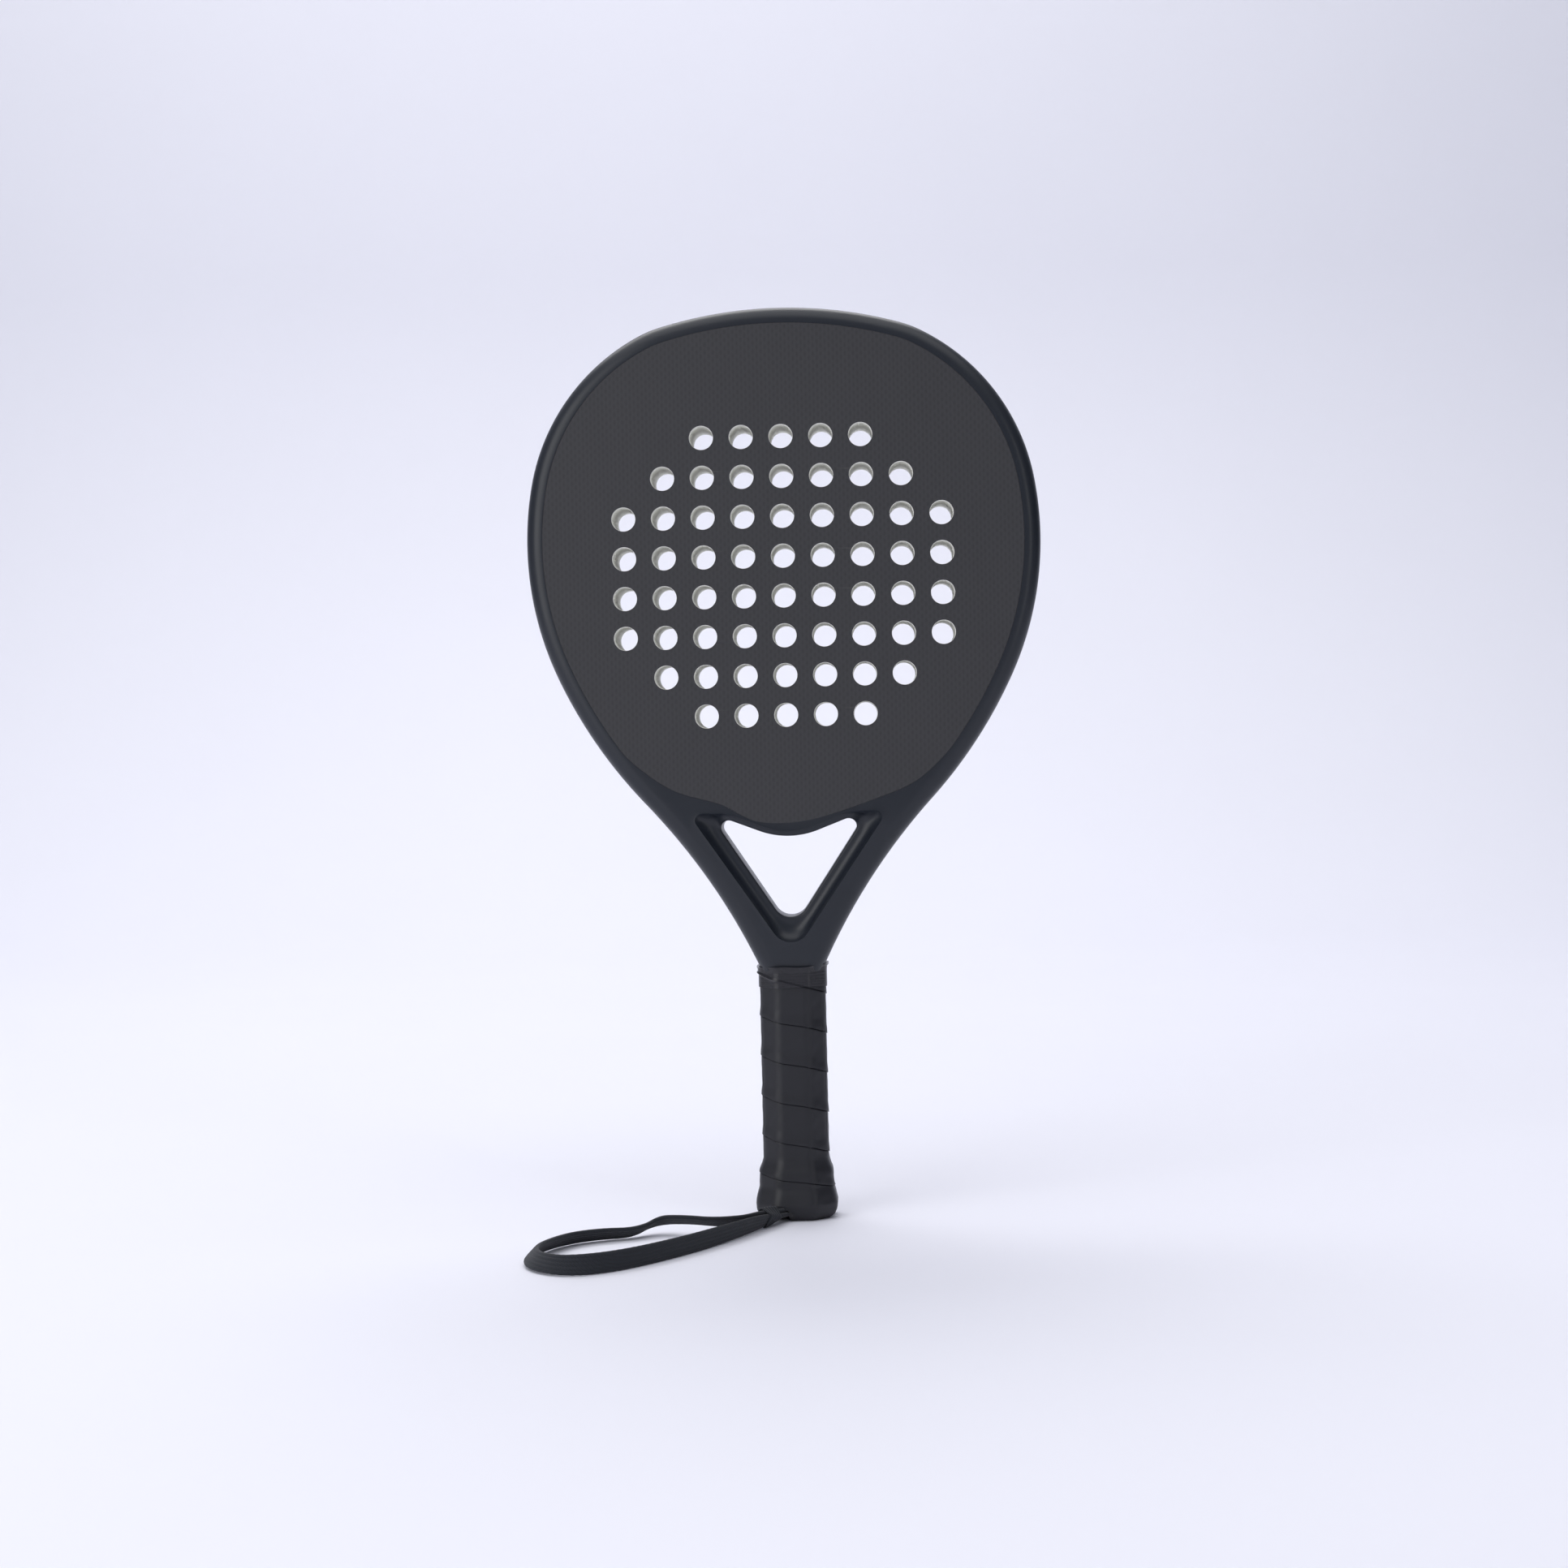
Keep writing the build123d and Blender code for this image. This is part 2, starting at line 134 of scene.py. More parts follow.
# Height, half width and corner radius up the handle.
GRIP_PROFILE = [(0.4, 16.8, 2.5), (1.2, 18.0, 3.0), (2.5, 19.2, 3.6), (5, 20.4, 5), (8, 20.7, 7.5),
                (12.5, 19.8, 7.5), (16, 18.7, 7.5), (18, 18.7, 7.5), (22.5, 18.6, 7.5), (24.6, 18.3, 7.5),
                (26.6, 17.5, 7.5), (30, 16.7, 7.5), (33, 16.55, 7.5), (76, 16.55, 7.5), (124, 16.55, 7.5)]
# Corner radii of the sections that the grip is blended from.
GRIP_CORNERS = (2, 8)
GRIP_WALL = 0.9
GRIP_SINK = 0.1
# Waves in the wound strip: depth, and turning up the handle and from point to point round it.
GRIP_WAVES = [(0.07, 0.31, 0.11), (0.04, 0.83, 0.3)]
INNER_LEVELS = (4, 8, 16, 25, 30)
INNER_CORNER = 3
# The wrap's edge: its height on the right, its rise in a turn, and the part of it that is on the front.
SEAM_RIGHT = 110.6
SEAM_PITCH = 20.0
SEAM_FRONT_DROP = 11.0
SEAM_STEP = 0.42
SEAM_GROOVE = 0.34
SEAM_LIP = 0.3
SEAM_FADE = 6.0
SEAM_TUCK = (0.55, 0.15)
WRAP_TURNS = 9
# Heights of the points up one turn of the wrap, closest together at its edges.
WRAP_STEPS = [0, 0.12, 0.35, 0.7, 1.2, 1.8, 2.5, 3.3, 4.2, 5.2, 6.3, 7.5, 9, 10.5, 12, 13.5, 15, 16.5,
              17.8, 18.8, 19.35, 19.6, 19.8, SEAM_PITCH - 0.05]
SHOULDER_Z = 30.0
SHOULDER_SQUEEZE = 0.84
FOOT_Z = 8.0
FOOT_LOW = 0.4
FOOT_EASING = 3.0
FOOT_HALF = 19
FOOT_SHARES = np.array([1, 0.85, 0.7, 0.55, 0.4, 0.28, 0.18, 0.1, 0.04, 0])
FOOT_INSET = GRIP_WALL / 18
NOTCH_HEIGHT = 5.5
NOTCH_HALF_WIDTH = 7.0
NOTCH_EASING = 3.0
TAPE_BOTTOM = 116.6
TAPE_TOP = 127.0
GRIP_TOP = TAPE_BOTTOM + 4
TAPE_HALF = 17.05
TAPE_CORNER = 6
TAPE_INNER_CORNER = 5.7
TAPE_WALL = 0.35
TAPE_STEPS = 34
TAPE_FLARE = 0.25
TAPE_ROLL = 0.35
TAPE_BACK = 0.14
# The tape's end on the front: its height on the left, its drop to the right, and its layer and fold.
END_HEIGHT = 123.6
END_DROP = 10.0
END_BEND = 0.75
END_LAYER = 0.28
END_SOFTNESS = 0.25
FOLD_LIFT = 0.3
FOLD_WIDTH = 0.45
FOLD_DEPTH = 0.30
FOLD_EXTRA = 0.35

# ---- wrist strap ----
STRAP_WIDTH = 9.6
STRAP_THICKNESS = 2.4
STRAP_RIBS = 5
STRAP_RIB_DEPTH = 0.32
STRAP_SECTION_STEPS = 41
STRAP_STEP = 1.0
STRAP_SMOOTHING = 13
SPLINE_STEPS = 24
STRAP_ANGLE = math.radians(24.8)
EXIT = Vector((-math.sin(STRAP_ANGLE), -math.cos(STRAP_ANGLE), 0))
ACROSS = Vector((-EXIT.y, EXIT.x, 0))
KEEPER_MIDDLE = 32.0
KEEPER_LENGTH = 11.0
# Half the sleeve's outer thickness and width, and its shift across its thickness to fit the two legs.
KEEPER_HALF = (3.7, 4.3)
KEEPER_SHIFT = 0.8
KEEPER_WALL = 0.6
KEEPER_ROUNDING = 1.6
KEEPER_RIBS = 5
KEEPER_RIB_STEPS = 6
KEEPER_RIB_MARGIN = 0.6
KEEPER_END_EASING = 0.35
# Shares of the wall's thickness: at the sleeve's ends, beside them, at a rib's foot and the rib's rise.
KEEPER_END_SHARE = 0.35
KEEPER_SHOULDER_SHARE = 0.9
KEEPER_RIB_SHARE = 0.68
KEEPER_RIB_RISE = 0.4
# Height of the sleeve's middle and its lean in degrees, at the butt's end and at the loop's end.
KEEPER_ENDS = [(4.1, 60), (4.9, 26)]
# The route as distance from the butt, offset and height for the legs, and as points for the loop between.
NEAR_LEG = [(5, 0.4, 2.5), (42, 1.1, 4.6)]
LOOP = [(-30, -65, 4.8), (-52, -99.5, 4.8), (-79, -131.5, 4.9), (-101, -141.5, 5.0), (-117, -128, 4.9),
        (-122, -107, 4.5), (-115.5, -85, 4.2), (-106, -69, 3.9), (-93, -61, 3.9), (-77, -55.5, 3.3),
        (-67, -44.5, 7.2), (-53, -49.5, 8.2), (-37, -50.5, 6.8)]
FAR_LEG = [(46, -0.6, 6.0), (5, -0.4, 5.0)]
# Lean of the band from upright, in degrees, along the strap: minus tips its upper edge out of the loop.
LEAN = [(0, -75), (16, -70), (24, -54), (33, -30), (47, -18), (70, -10), (110, -5), (140, 0), (158, 8),
        (175, 30), (192, 42), (250, 46), (275, 52), (300, 60), (325, 60), (343, 46), (352, 36), (362, 48),
        (374, 72), (400, 75)]
# Share of its full width that the soft braid keeps where the sleeve and the butt pinch it.
PINCH = [(0, 0.72), (22, 0.74), (33, 0.8), (45, 0.9), (65, 0.96), (90, 1), (310, 1), (332, 0.95),
         (350, 0.86), (366, 0.74), (400, 0.72)]


# ---- small helpers ----

def smooth_step(low, high, value):
    t = np.clip((value - low) / (high - low), 0, 1)
    return t * t * (3 - 2 * t)


class Builder:
    """Collects points and faces; points closer than a hundredth of a millimetre are one."""

    def __init__(self):
        self.points = []
        self.faces = []
        self.slots = []
        self.known = {}

    def point(self, p):
        place = tuple(float(c) for c in p)
        key = tuple(round(c, 2) for c in place)
        if key not in self.known:
            self.known[key] = len(self.points)
            self.points.append(place)
        return self.known[key]

    def face(self, corners, slot=0):
        """Adds a face, unless fewer than three of its corners are different points."""
        face = list(dict.fromkeys(self.point(p) for p in corners))
        if len(face) > 2:
            self.faces.append(face)
            self.slots.append(slot)

    def strip(self, one, other, closed=False, slot=0):
        """Quads between two rows of points."""
        count = len(one)
        for i in range(count if closed else count - 1):
            j = (i + 1) % count
            self.face([one[i], one[j], other[j], other[i]], slot)

    def rows(self, rows, closed=True, slot=0, order=1):
        """Strips between each row and the next; order -1 turns their faces over."""
        for pair in zip(rows, rows[1:]):
            self.strip(*pair[::order], closed, slot)

    def surface(self, points, faces, order=1):
        for face in faces:
            self.face(points[face[::order]])

    def piece(self, name, *materials, body="racket"):
        """A new smooth-shaded piece, in metres."""
        mesh = bpy.data.meshes.new(name)
        mesh.from_pydata([tuple(c * MM for c in p) for p in self.points], [], self.faces)
        mesh.validate()
        mesh.polygons.foreach_set("use_smooth", [True] * len(mesh.polygons))
        mesh.polygons.foreach_set("material_index", self.slots)
        for material in materials:
            mesh.materials.append(material)
        mesh.update()
        piece = bpy.data.objects.new(name, mesh)
        bpy.context.scene.collection.objects.link(piece)
        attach(piece, body)
        return piece


def at_depth(outline, y):
    """Points (x, z) of an outline as rows of (x, y, z); y is one number or one for each point."""
    return np.c_[outline[:, 0], np.broadcast_to(y, len(outline)), outline[:, 1]]


def inside(polygon, points):
    """Which points lie inside a closed polygon."""
    x, z = points[:, 0:1], points[:, 1:2]
    ax, az = polygon[:, 0], polygon[:, 1]
    bx, bz = np.roll(ax, -1), np.roll(az, -1)
    crosses = (az > z) != (bz > z)
    with np.errstate(divide="ignore", invalid="ignore"):
        at = ax + (z - az) * (bx - ax) / (bz - az)
    return (crosses & (x < at)).sum(1) % 2 == 1


def rounded_polygon(corners, radii, arc_steps, line_steps):
    """A closed outline with rounded corners, and its outward normals; corners run clockwise."""
    points, normals = [], []
    count = len(corners)
    ends = []
    for i in range(count):
        before = Vector(corners[i - 1])
        here = Vector(corners[i])
        after = Vector(corners[(i + 1) % count])
        run_in = (here - before).normalized()
        run_out = (after - here).normalized()
        turn = math.atan2(run_in.x * run_out.y - run_in.y * run_out.x, run_in.dot(run_out))
        reach = radii[i] * math.tan(abs(turn) / 2)
        side = math.copysign(1, turn)
        centre = here - run_in * reach + Vector((-run_in.y, run_in.x)) * side * radii[i]
        ends.append((here - run_in * reach, here + run_out * reach, centre, turn))
    for i in range(count):
        start, end, centre, turn = ends[i]
        spoke = start - centre
        for k in range(arc_steps[i] + 1):
            angle = turn * k / arc_steps[i]
            turned = Matrix.Rotation(angle, 2) @ spoke
            outward = turned.normalized() * (1 if turn < 0 else -1)
            points.append(centre + turned)
            normals.append(outward)
        following = ends[(i + 1) % count][0]
        along = (following - end).normalized()
        for k in range(1, line_steps[i]):
            points.append(end.lerp(following, k / line_steps[i]))
            normals.append(Vector((-along.y, along.x)))
    return np.array(points), np.array(normals)


def flowing_curve(points, per_span, start_tangent, end_tangent):
    """A smooth curve through the points."""
    p = np.array(points, float)
    tangents = np.array([start_tangent, *(p[2:] - p[:-2]) / 2, end_tangent])
    curve = []
    for i in range(len(p) - 1):
        for k in range(per_span):
            t = k / per_span
            h = (2 * t**3 - 3 * t**2 + 1, t**3 - 2 * t**2 + t, -2 * t**3 + 3 * t**2, t**3 - t**2)
            curve.append(h[0] * p[i] + h[1] * tangents[i] + h[2] * p[i + 1] + h[3] * tangents[i + 1])
    curve.append(p[-1])
    return np.array(curve)


# ---- materials ----

class Shader:
    """A Principled material built from a few kinds of node, all in the part's own coordinates."""

    def __init__(self, name, **sockets):
        self.material = bpy.data.materials.new(name)
        self.material.use_nodes = True
        self.tree = self.material.node_tree
        self.principled = self.tree.nodes["Principled BSDF"]
        for socket, value in sockets.items():
            self.principled.inputs[socket.replace("_", " ")].default_value = value
        self.place = self.tree.nodes.new("ShaderNodeTexCoord").outputs["Object"]

    def node(self, kind, settings=(), **inputs):
        """A node with its inputs linked or set; an input is named, or numbered as in _0."""
        made = self.tree.nodes.new(kind)
        for setting, value in settings:
            setattr(made, setting, value)
        for socket, value in inputs.items():
            target = made.inputs[int(socket[1:])] if socket[1:].isdigit() else made.inputs[socket]
            if isinstance(value, bpy.types.NodeSocket):
                self.tree.links.new(value, target)
            else:
                target.default_value = value
        return made

    def mapping(self, scale=(1, 1, 1), rotation=(0, 0, 0)):
        return self.node("ShaderNodeMapping", Vector=self.place, Scale=scale, Rotation=rotation).outputs[0]

    def noise(self, scale, detail=3.0, roughness=0.5, vector=None):
        return self.node("ShaderNodeTexNoise", Vector=vector or self.place, Scale=scale, Detail=detail,
                         Roughness=roughness).outputs["Fac"]

    def voronoi(self, scale):
        return self.node("ShaderNodeTexVoronoi", Vector=self.place, Scale=scale).outputs["Distance"]

    def math(self, operation, a, b=0.0):
        return self.node("ShaderNodeMath", [("operation", operation)], _0=a, _1=b).outputs[0]

    def spread(self, value, low, high):
        """Carries 0..1 to low..high."""
        return self.node("ShaderNodeMapRange", Value=value, _3=low, _4=high).outputs[0]

    def pick(self, value, low, high):
        """Carries the part of value from low to high to 0..1, smoothly."""
        settings = [("interpolation_type", "SMOOTHSTEP")]
        return self.node("ShaderNodeMapRange", settings, Value=value, _1=low, _2=high).outputs[0]

    def blend(self, share, one, other):
        """Mixes two colours; the Mix node's sockets 6 and 7, and its output 2, are the colour ones."""
        settings = [("data_type", "RGBA")]
        return self.node("ShaderNodeMix", settings, _0=share, _6=one, _7=other).outputs[2]

    def separate(self):
        return self.node("ShaderNodeSeparateXYZ", _0=self.place).outputs

    def wave(self, coordinate, period, shift=0.0):
        """A sine from -1 to 1 of a coordinate in metres, with its period in millimetres."""
        turns = self.math("MULTIPLY", coordinate, 2 * math.pi / (period * MM))
        return self.math("SINE", self.math("ADD", turns, shift))

    def colour(self, socket):
        self.tree.links.new(socket, self.principled.inputs["Base Color"])

    def rough(self, socket):
        self.tree.links.new(socket, self.principled.inputs["Roughness"])

    def bump(self, height, distance, strength=1.0):
        """Bump of a height from 0 to 1, with its full depth in millimetres."""
        made = self.node("ShaderNodeBump", Height=height, Distance=distance * MM, Strength=strength)
        self.tree.links.new(made.outputs[0], self.principled.inputs["Normal"])


def lacquer():
    """Satin bluish-black lacquer with a faint orange peel and a little dust."""
    s = Shader("frame_lacquer", Roughness=0.4, Specular_IOR_Level=0.4)
    drift = s.noise(14, 4)
    dust = s.pick(s.noise(900, 2, 0.7), 0.70, 0.80)
    base = s.blend(drift, (0.009, 0.012, 0.018, 1), (0.013, 0.016, 0.023, 1))
    s.colour(s.blend(s.math("MULTIPLY", dust, 0.25), base, (0.09, 0.09, 0.10, 1)))
    s.rough(s.spread(s.noise(60, 3), 0.30, 0.40))
    s.bump(s.noise(700, 2), 0.02, 0.35)
    return s.material


def face_weave():
    """Matt fibre laminate: a plain weave of two-millimetre tows under a thin rough clear coat."""
    s = Shader("face_weave", Roughness=0.6)
    x, _, z = s.separate()
    repeat = 3.96
    diagonal = s.math("MULTIPLY", s.wave(x, repeat), s.wave(z, repeat))
    upright = s.wave(x, repeat / 2, math.pi / 2)
    weave = s.math("ADD", s.math("MULTIPLY", diagonal, 0.22), s.math("MULTIPLY", upright, 0.16))
    weave = s.math("ADD", weave, 0.5)
    grain = s.noise(2600, 2)
    cloud = s.noise(22, 3)
    dark = s.blend(cloud, (0.0165, 0.0165, 0.0195, 1), (0.020, 0.020, 0.023, 1))
    light = s.blend(cloud, (0.030, 0.030, 0.034, 1), (0.035, 0.035, 0.039, 1))
    s.colour(s.blend(weave, dark, light))
    s.rough(s.spread(s.math("MULTIPLY", weave, grain), 0.50, 0.72))
    s.bump(s.math("ADD", s.math("MULTIPLY", weave, 0.7), s.math("MULTIPLY", grain, 0.3)), 0.05, 0.5)
    return s.material


def cut_edge():
    """Pale sawn edge of the laminate round each hole."""
    s = Shader("cut_edge", Roughness=0.7)
    s.colour(s.blend(s.noise(900, 3), (0.78, 0.78, 0.74, 1), (0.92, 0.92, 0.88, 1)))
    s.bump(s.noise(2500, 2), 0.04, 0.5)
    return s.material


def core_foam():
    """Pale closed-cell foam with fine drilling marks round each hole."""
    s = Shader("core_foam", Roughness=0.85)
    _, depth, _ = s.separate()
    cells = s.voronoi(1900)
    rings = s.wave(depth, 0.8)
    mottle = s.noise(240, 3)
    tone = s.math("ADD", s.math("MULTIPLY", mottle, 0.8), s.math("MULTIPLY", cells, 0.3))
    s.colour(s.blend(tone, (0.84, 0.84, 0.79, 1), (0.93, 0.93, 0.88, 1)))
    s.rough(s.spread(mottle, 0.78, 0.92))
    s.bump(s.math("ADD", cells, s.math("MULTIPLY", rings, 0.2)), 0.08, 0.5)
    return s.material


def plain_foam(name, dark, light, scale):
    """Foam with visible cells; scale is roughly how many there are in a metre."""
    s = Shader(name, Roughness=0.9)
    cells = s.voronoi(scale)
    s.colour(s.blend(s.math("ADD", s.math("MULTIPLY", cells, 0.5), s.math("MULTIPLY", s.noise(90), 0.5)),
                     dark, light))
    s.rough(s.spread(cells, 0.8, 0.95))
    s.bump(cells, 0.2, 0.6)
    return s.material


def glass_ply():
    """Pale glass-fibre ply behind the outer skin."""
    s = Shader("glass_ply", Roughness=0.6)
    x, _, z = s.separate()
    weave = s.math("MULTIPLY", s.wave(x, 1.6), s.wave(z, 1.6))
    s.colour(s.blend(s.math("MULTIPLY", weave, 0.3), (0.58, 0.58, 0.54, 1), (0.72, 0.72, 0.67, 1)))
    s.rough(s.spread(s.noise(300), 0.5, 0.7))
    s.bump(weave, 0.05, 0.4)
    return s.material


def grip_leather(name, tint):
    """Thin synthetic leather with a soft sheen, a fine grain and slow blotches from handling."""
    s = Shader(name, Roughness=0.5, Specular_IOR_Level=0.42)
    blotch = s.noise(45, 4)
    grain = s.voronoi(2300)
    fine = s.noise(5200, 2)
    dark = tuple(c * 0.82 for c in tint) + (1,)
    light = tuple(c * 1.22 for c in tint) + (1,)
    tone = s.math("ADD", s.math("MULTIPLY", blotch, 0.8), s.math("MULTIPLY", grain, 0.25))
    s.colour(s.blend(tone, dark, light))
    s.rough(s.spread(s.noise(120, 4), 0.40, 0.52))
    s.bump(s.math("ADD", s.math("MULTIPLY", grain, 0.6), s.math("MULTIPLY", fine, 0.4)), 0.03, 0.3)
    return s.material


def glossy_tape():
    """Stretched vinyl tape with faint pull lines round the handle."""
    s = Shader("glossy_tape", Roughness=0.2, Coat_Weight=0.15, Coat_Roughness=0.08,
               Specular_IOR_Level=0.4)
    pull = s.noise(60, 4, vector=s.mapping(scale=(1, 1, 26)))
    smear = s.noise(260, 3)
    s.colour(s.blend(smear, (0.006, 0.006, 0.009, 1), (0.011, 0.011, 0.015, 1)))
    s.rough(s.spread(smear, 0.16, 0.34))
    s.bump(pull, 0.12, 0.5)
    return s.material


def strap_braid():
    """Ribbed polyester braid: tiny slanting stitches over its ribs, and a soft fuzz."""
    s = Shader("strap_braid", Roughness=0.85, Sheen_Weight=0.1, Sheen_Roughness=0.5)
    settings = [("bands_direction", "DIAGONAL")]
    slants = [s.node("ShaderNodeTexWave", settings, Vector=vector, Scale=420.0, Distortion=1.5,
                     Detail=2.0).outputs["Fac"]
              for vector in (s.place, s.mapping(rotation=(0, 0, math.pi / 2)))]
    stitches = s.math("MAXIMUM", *slants)
    fuzz = s.noise(3000, 2, 0.8)
    dark, light = (0.003, 0.0045, 0.0075, 1), (0.013, 0.017, 0.027, 1)
    s.colour(s.blend(s.math("MULTIPLY", stitches, fuzz), dark, light))
    s.rough(s.spread(fuzz, 0.75, 0.95))
    s.bump(s.math("ADD", stitches, s.math("MULTIPLY", fuzz, 0.5)), 0.12, 0.7)
    return s.material


def cap_plastic():
    """Moulded black plastic with a fine spark-eroded texture."""
    s = Shader("cap_plastic", Roughness=0.5)
    s.colour(s.blend(s.noise(50, 3), (0.016, 0.016, 0.018, 1), (0.026, 0.026, 0.029, 1)))
    s.rough(s.spread(s.noise(400, 3), 0.42, 0.6))
    s.bump(s.noise(2800, 2), 0.03, 0.5)
    return s.material


def steel_wire():
    """Bright drawn wire with faint lengthwise lines."""
    s = Shader("steel_wire", Metallic=1.0, Roughness=0.3)
    lines = s.noise(900, 2, vector=s.mapping(scale=(1, 1, 12)))
    s.colour(s.blend(lines, (0.5, 0.5, 0.52, 1), (0.68, 0.68, 0.70, 1)))
    s.rough(s.spread(lines, 0.22, 0.4))
    s.bump(lines, 0.01, 0.4)
    return s.material


def studio_paper():
    """Pale seamless paper."""
    s = Shader("studio_paper", Roughness=0.7)
    s.colour(s.blend(s.noise(3, 3), (0.80, 0.805, 0.88, 1), (0.82, 0.825, 0.90, 1)))
    s.bump(s.noise(300, 3), 0.1, 0.1)
    return s.material


LACQUER = lacquer()
WEAVE = face_weave()
CUT_EDGE = cut_edge()
BRAID = strap_braid()
TAPE = glossy_tape()
GRIP = grip_leather("grip_strip", (0.0095, 0.0100, 0.0140))
CAD_MATERIALS = {
    ("eva_core",): core_foam(),
    ("front_backing_ply", "rear_backing_ply"): glass_ply(),
    ("frame_foam", "bridge_foam", "handle_filler"): plain_foam(
        "white_foam", (0.7, 0.68, 0.6, 1), (0.85, 0.83, 0.76, 1), 900),
    ("handle_shell_front", "handle_shell_rear"): plain_foam(
        "shell_foam", (0.55, 0.48, 0.3, 1), (0.7, 0.62, 0.42, 1), 1400),
    ("butt_cap",): cap_plastic(),
    ("butt_cap_staples", "grip_tack"): steel_wire(),
    ("base_grip",): grip_leather("cushion_grip", (0.012, 0.012, 0.015)),
    ("strap_knot",): BRAID,
}


def dress_cad_nodes():
    """Gives the CAD nodes that stay in the picture their materials."""
    for names, material in CAD_MATERIALS.items():
        for name in names:
            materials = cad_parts[name].data.materials
            materials.clear()
            materials.append(material)


# ---- camera and studio ----

def make_camera():
    data = bpy.data.cameras.new("camera")
    data.sensor_width = SENSOR
    data.lens = LENS
    data.clip_start, data.clip_end = CLIP
    camera = bpy.data.objects.new("camera", data)
    turn = Matrix.Rotation(math.radians(CAMERA_YAW), 3, "Z")
    tilt = Matrix.Rotation(math.radians(90 + CAMERA_PITCH), 3, "X")
    roll = Matrix.Rotation(math.radians(CAMERA_ROLL), 3, "Z")
    camera.matrix_world = Matrix.Translation(Vector(CAMERA_PLACE) * MM) @ (turn @ tilt @ roll).to_4x4()
    bpy.context.scene.collection.objects.link(camera)
    bpy.context.scene.camera = camera


def make_backdrop():
    """Seamless paper: a floor that curves up into a wall behind the racket."""
    section = [(PAPER_FRONT, 0.0)]
    for k in range(PAPER_BEND_STEPS + 1):
        angle = math.radians(90 * k / PAPER_BEND_STEPS)
        section.append((PAPER_FOOT + PAPER_BEND * math.sin(angle), PAPER_BEND * (1 - math.cos(angle))))
    section.append((PAPER_FOOT + PAPER_BEND, PAPER_TOP))
    points = [(x, y, z) for y, z in section for x in (-PAPER_HALF_WIDTH, PAPER_HALF_WIDTH)]
    faces = [(2 * i, 2 * i + 1, 2 * i + 3, 2 * i + 2) for i in range(len(section) - 1)]
    mesh = bpy.data.meshes.new("backdrop")
    mesh.from_pydata(points, [], faces)
    mesh.polygons.foreach_set("use_smooth", [True] * len(faces))
    mesh.materials.append(studio_paper())
    backdrop = bpy.data.objects.new("backdrop", mesh)
    bpy.context.scene.collection.objects.link(backdrop)


def make_light(name, place, aim, size, power):
    data = bpy.data.lights.new(name, "AREA")
    data.shape = "RECTANGLE"
    data.size, data.size_y = size
    data.energy = power
    data.color = LIGHT_COLOUR
    light = bpy.data.objects.new(name, data)
    light.location = place
    light.rotation_euler = (Vector(aim) - Vector(place)).to_track_quat("-Z", "Y").to_euler()
    bpy.context.scene.collection.objects.link(light)


def make_world():
    """A dim room, brighter overhead and behind the camera, and a little brighter on the left."""
    world = bpy.data.worlds.new("studio")
    world.use_nodes = True
    tree = world.node_tree
    place = tree.nodes.new("ShaderNodeTexCoord").outputs["Generated"]
    direction = tree.nodes.new("ShaderNodeSeparateXYZ")
    tree.links.new(place, direction.inputs[0])
    total = None
    for axis, limits in enumerate(ROOM_SHADES):
        shade = tree.nodes.new("ShaderNodeMapRange")
        tree.links.new(direction.outputs[axis], shade.inputs[0])
        for socket, value in zip(("From Min", "From Max", "To Min", "To Max"), limits):
            shade.inputs[socket].default_value = value
        part = shade.outputs[0]
        if total:
            sum_node = tree.nodes.new("ShaderNodeMath")
            tree.links.new(total, sum_node.inputs[0])
            tree.links.new(part, sum_node.inputs[1])
            part = sum_node.outputs[0]
        total = part
    background = tree.nodes["Background"]
    background.inputs["Color"].default_value = ROOM_COLOUR
    tree.links.new(total, background.inputs["Strength"])
    return world


def make_studio():
    make_backdrop()
    for light in LIGHTS:
        make_light(*light)
    bpy.context.scene.world = make_world()
    bpy.context.scene.view_settings.view_transform = "Standard"


# ---- wrist strap and keeper ----

def along_exit(distance, side, height):
    """A point at a distance out from the butt along the strap's way out, and to the side of it."""
    place = EXIT * distance + ACROSS * side
    return (place.x, place.y, height)


def strap_route():
    near = [along_exit(*place) for place in NEAR_LEG]
    far = [along_exit(*place) for place in FAR_LEG]
    return near + LOOP + far


def spline_points(route):
    """The smooth line through a route: the points of a NURBS curve with no bevel, in millimetres."""
    data = bpy.data.curves.new("strap_line", "CURVE")
    data.dimensions = "3D"
    data.resolution_u = SPLINE_STEPS
    spline = data.splines.new("NURBS")
    spline.points.add(len(route) - 1)
    for point, place in zip(spline.points, route):
        point.co = (*(c * MM for c in place), 1)
    spline.order_u = 3
    spline.use_endpoint_u = True
    line = bpy.data.objects.new("strap_line", data)
    bpy.context.scene.collection.objects.link(line)
    bpy.context.view_layer.update()
    mesh = bpy.data.meshes.new_from_object(line.evaluated_get(bpy.context.evaluated_depsgraph_get()))
    points = np.array([v.co for v in mesh.vertices], float) / MM
    bpy.data.objects.remove(line)
    bpy.data.meshes.remove(mesh)
    return points


def evenly(points, step):
    """The same line with evenly spaced points, and how far along each one is."""
    runs = np.r_[0, np.cumsum(np.linalg.norm(np.diff(points, axis=0), axis=1))]
    distance = np.linspace(0, runs[-1], int(runs[-1] / step) + 1)
    return np.c_[[np.interp(distance, runs, points[:, k]) for k in range(3)]].T, distance


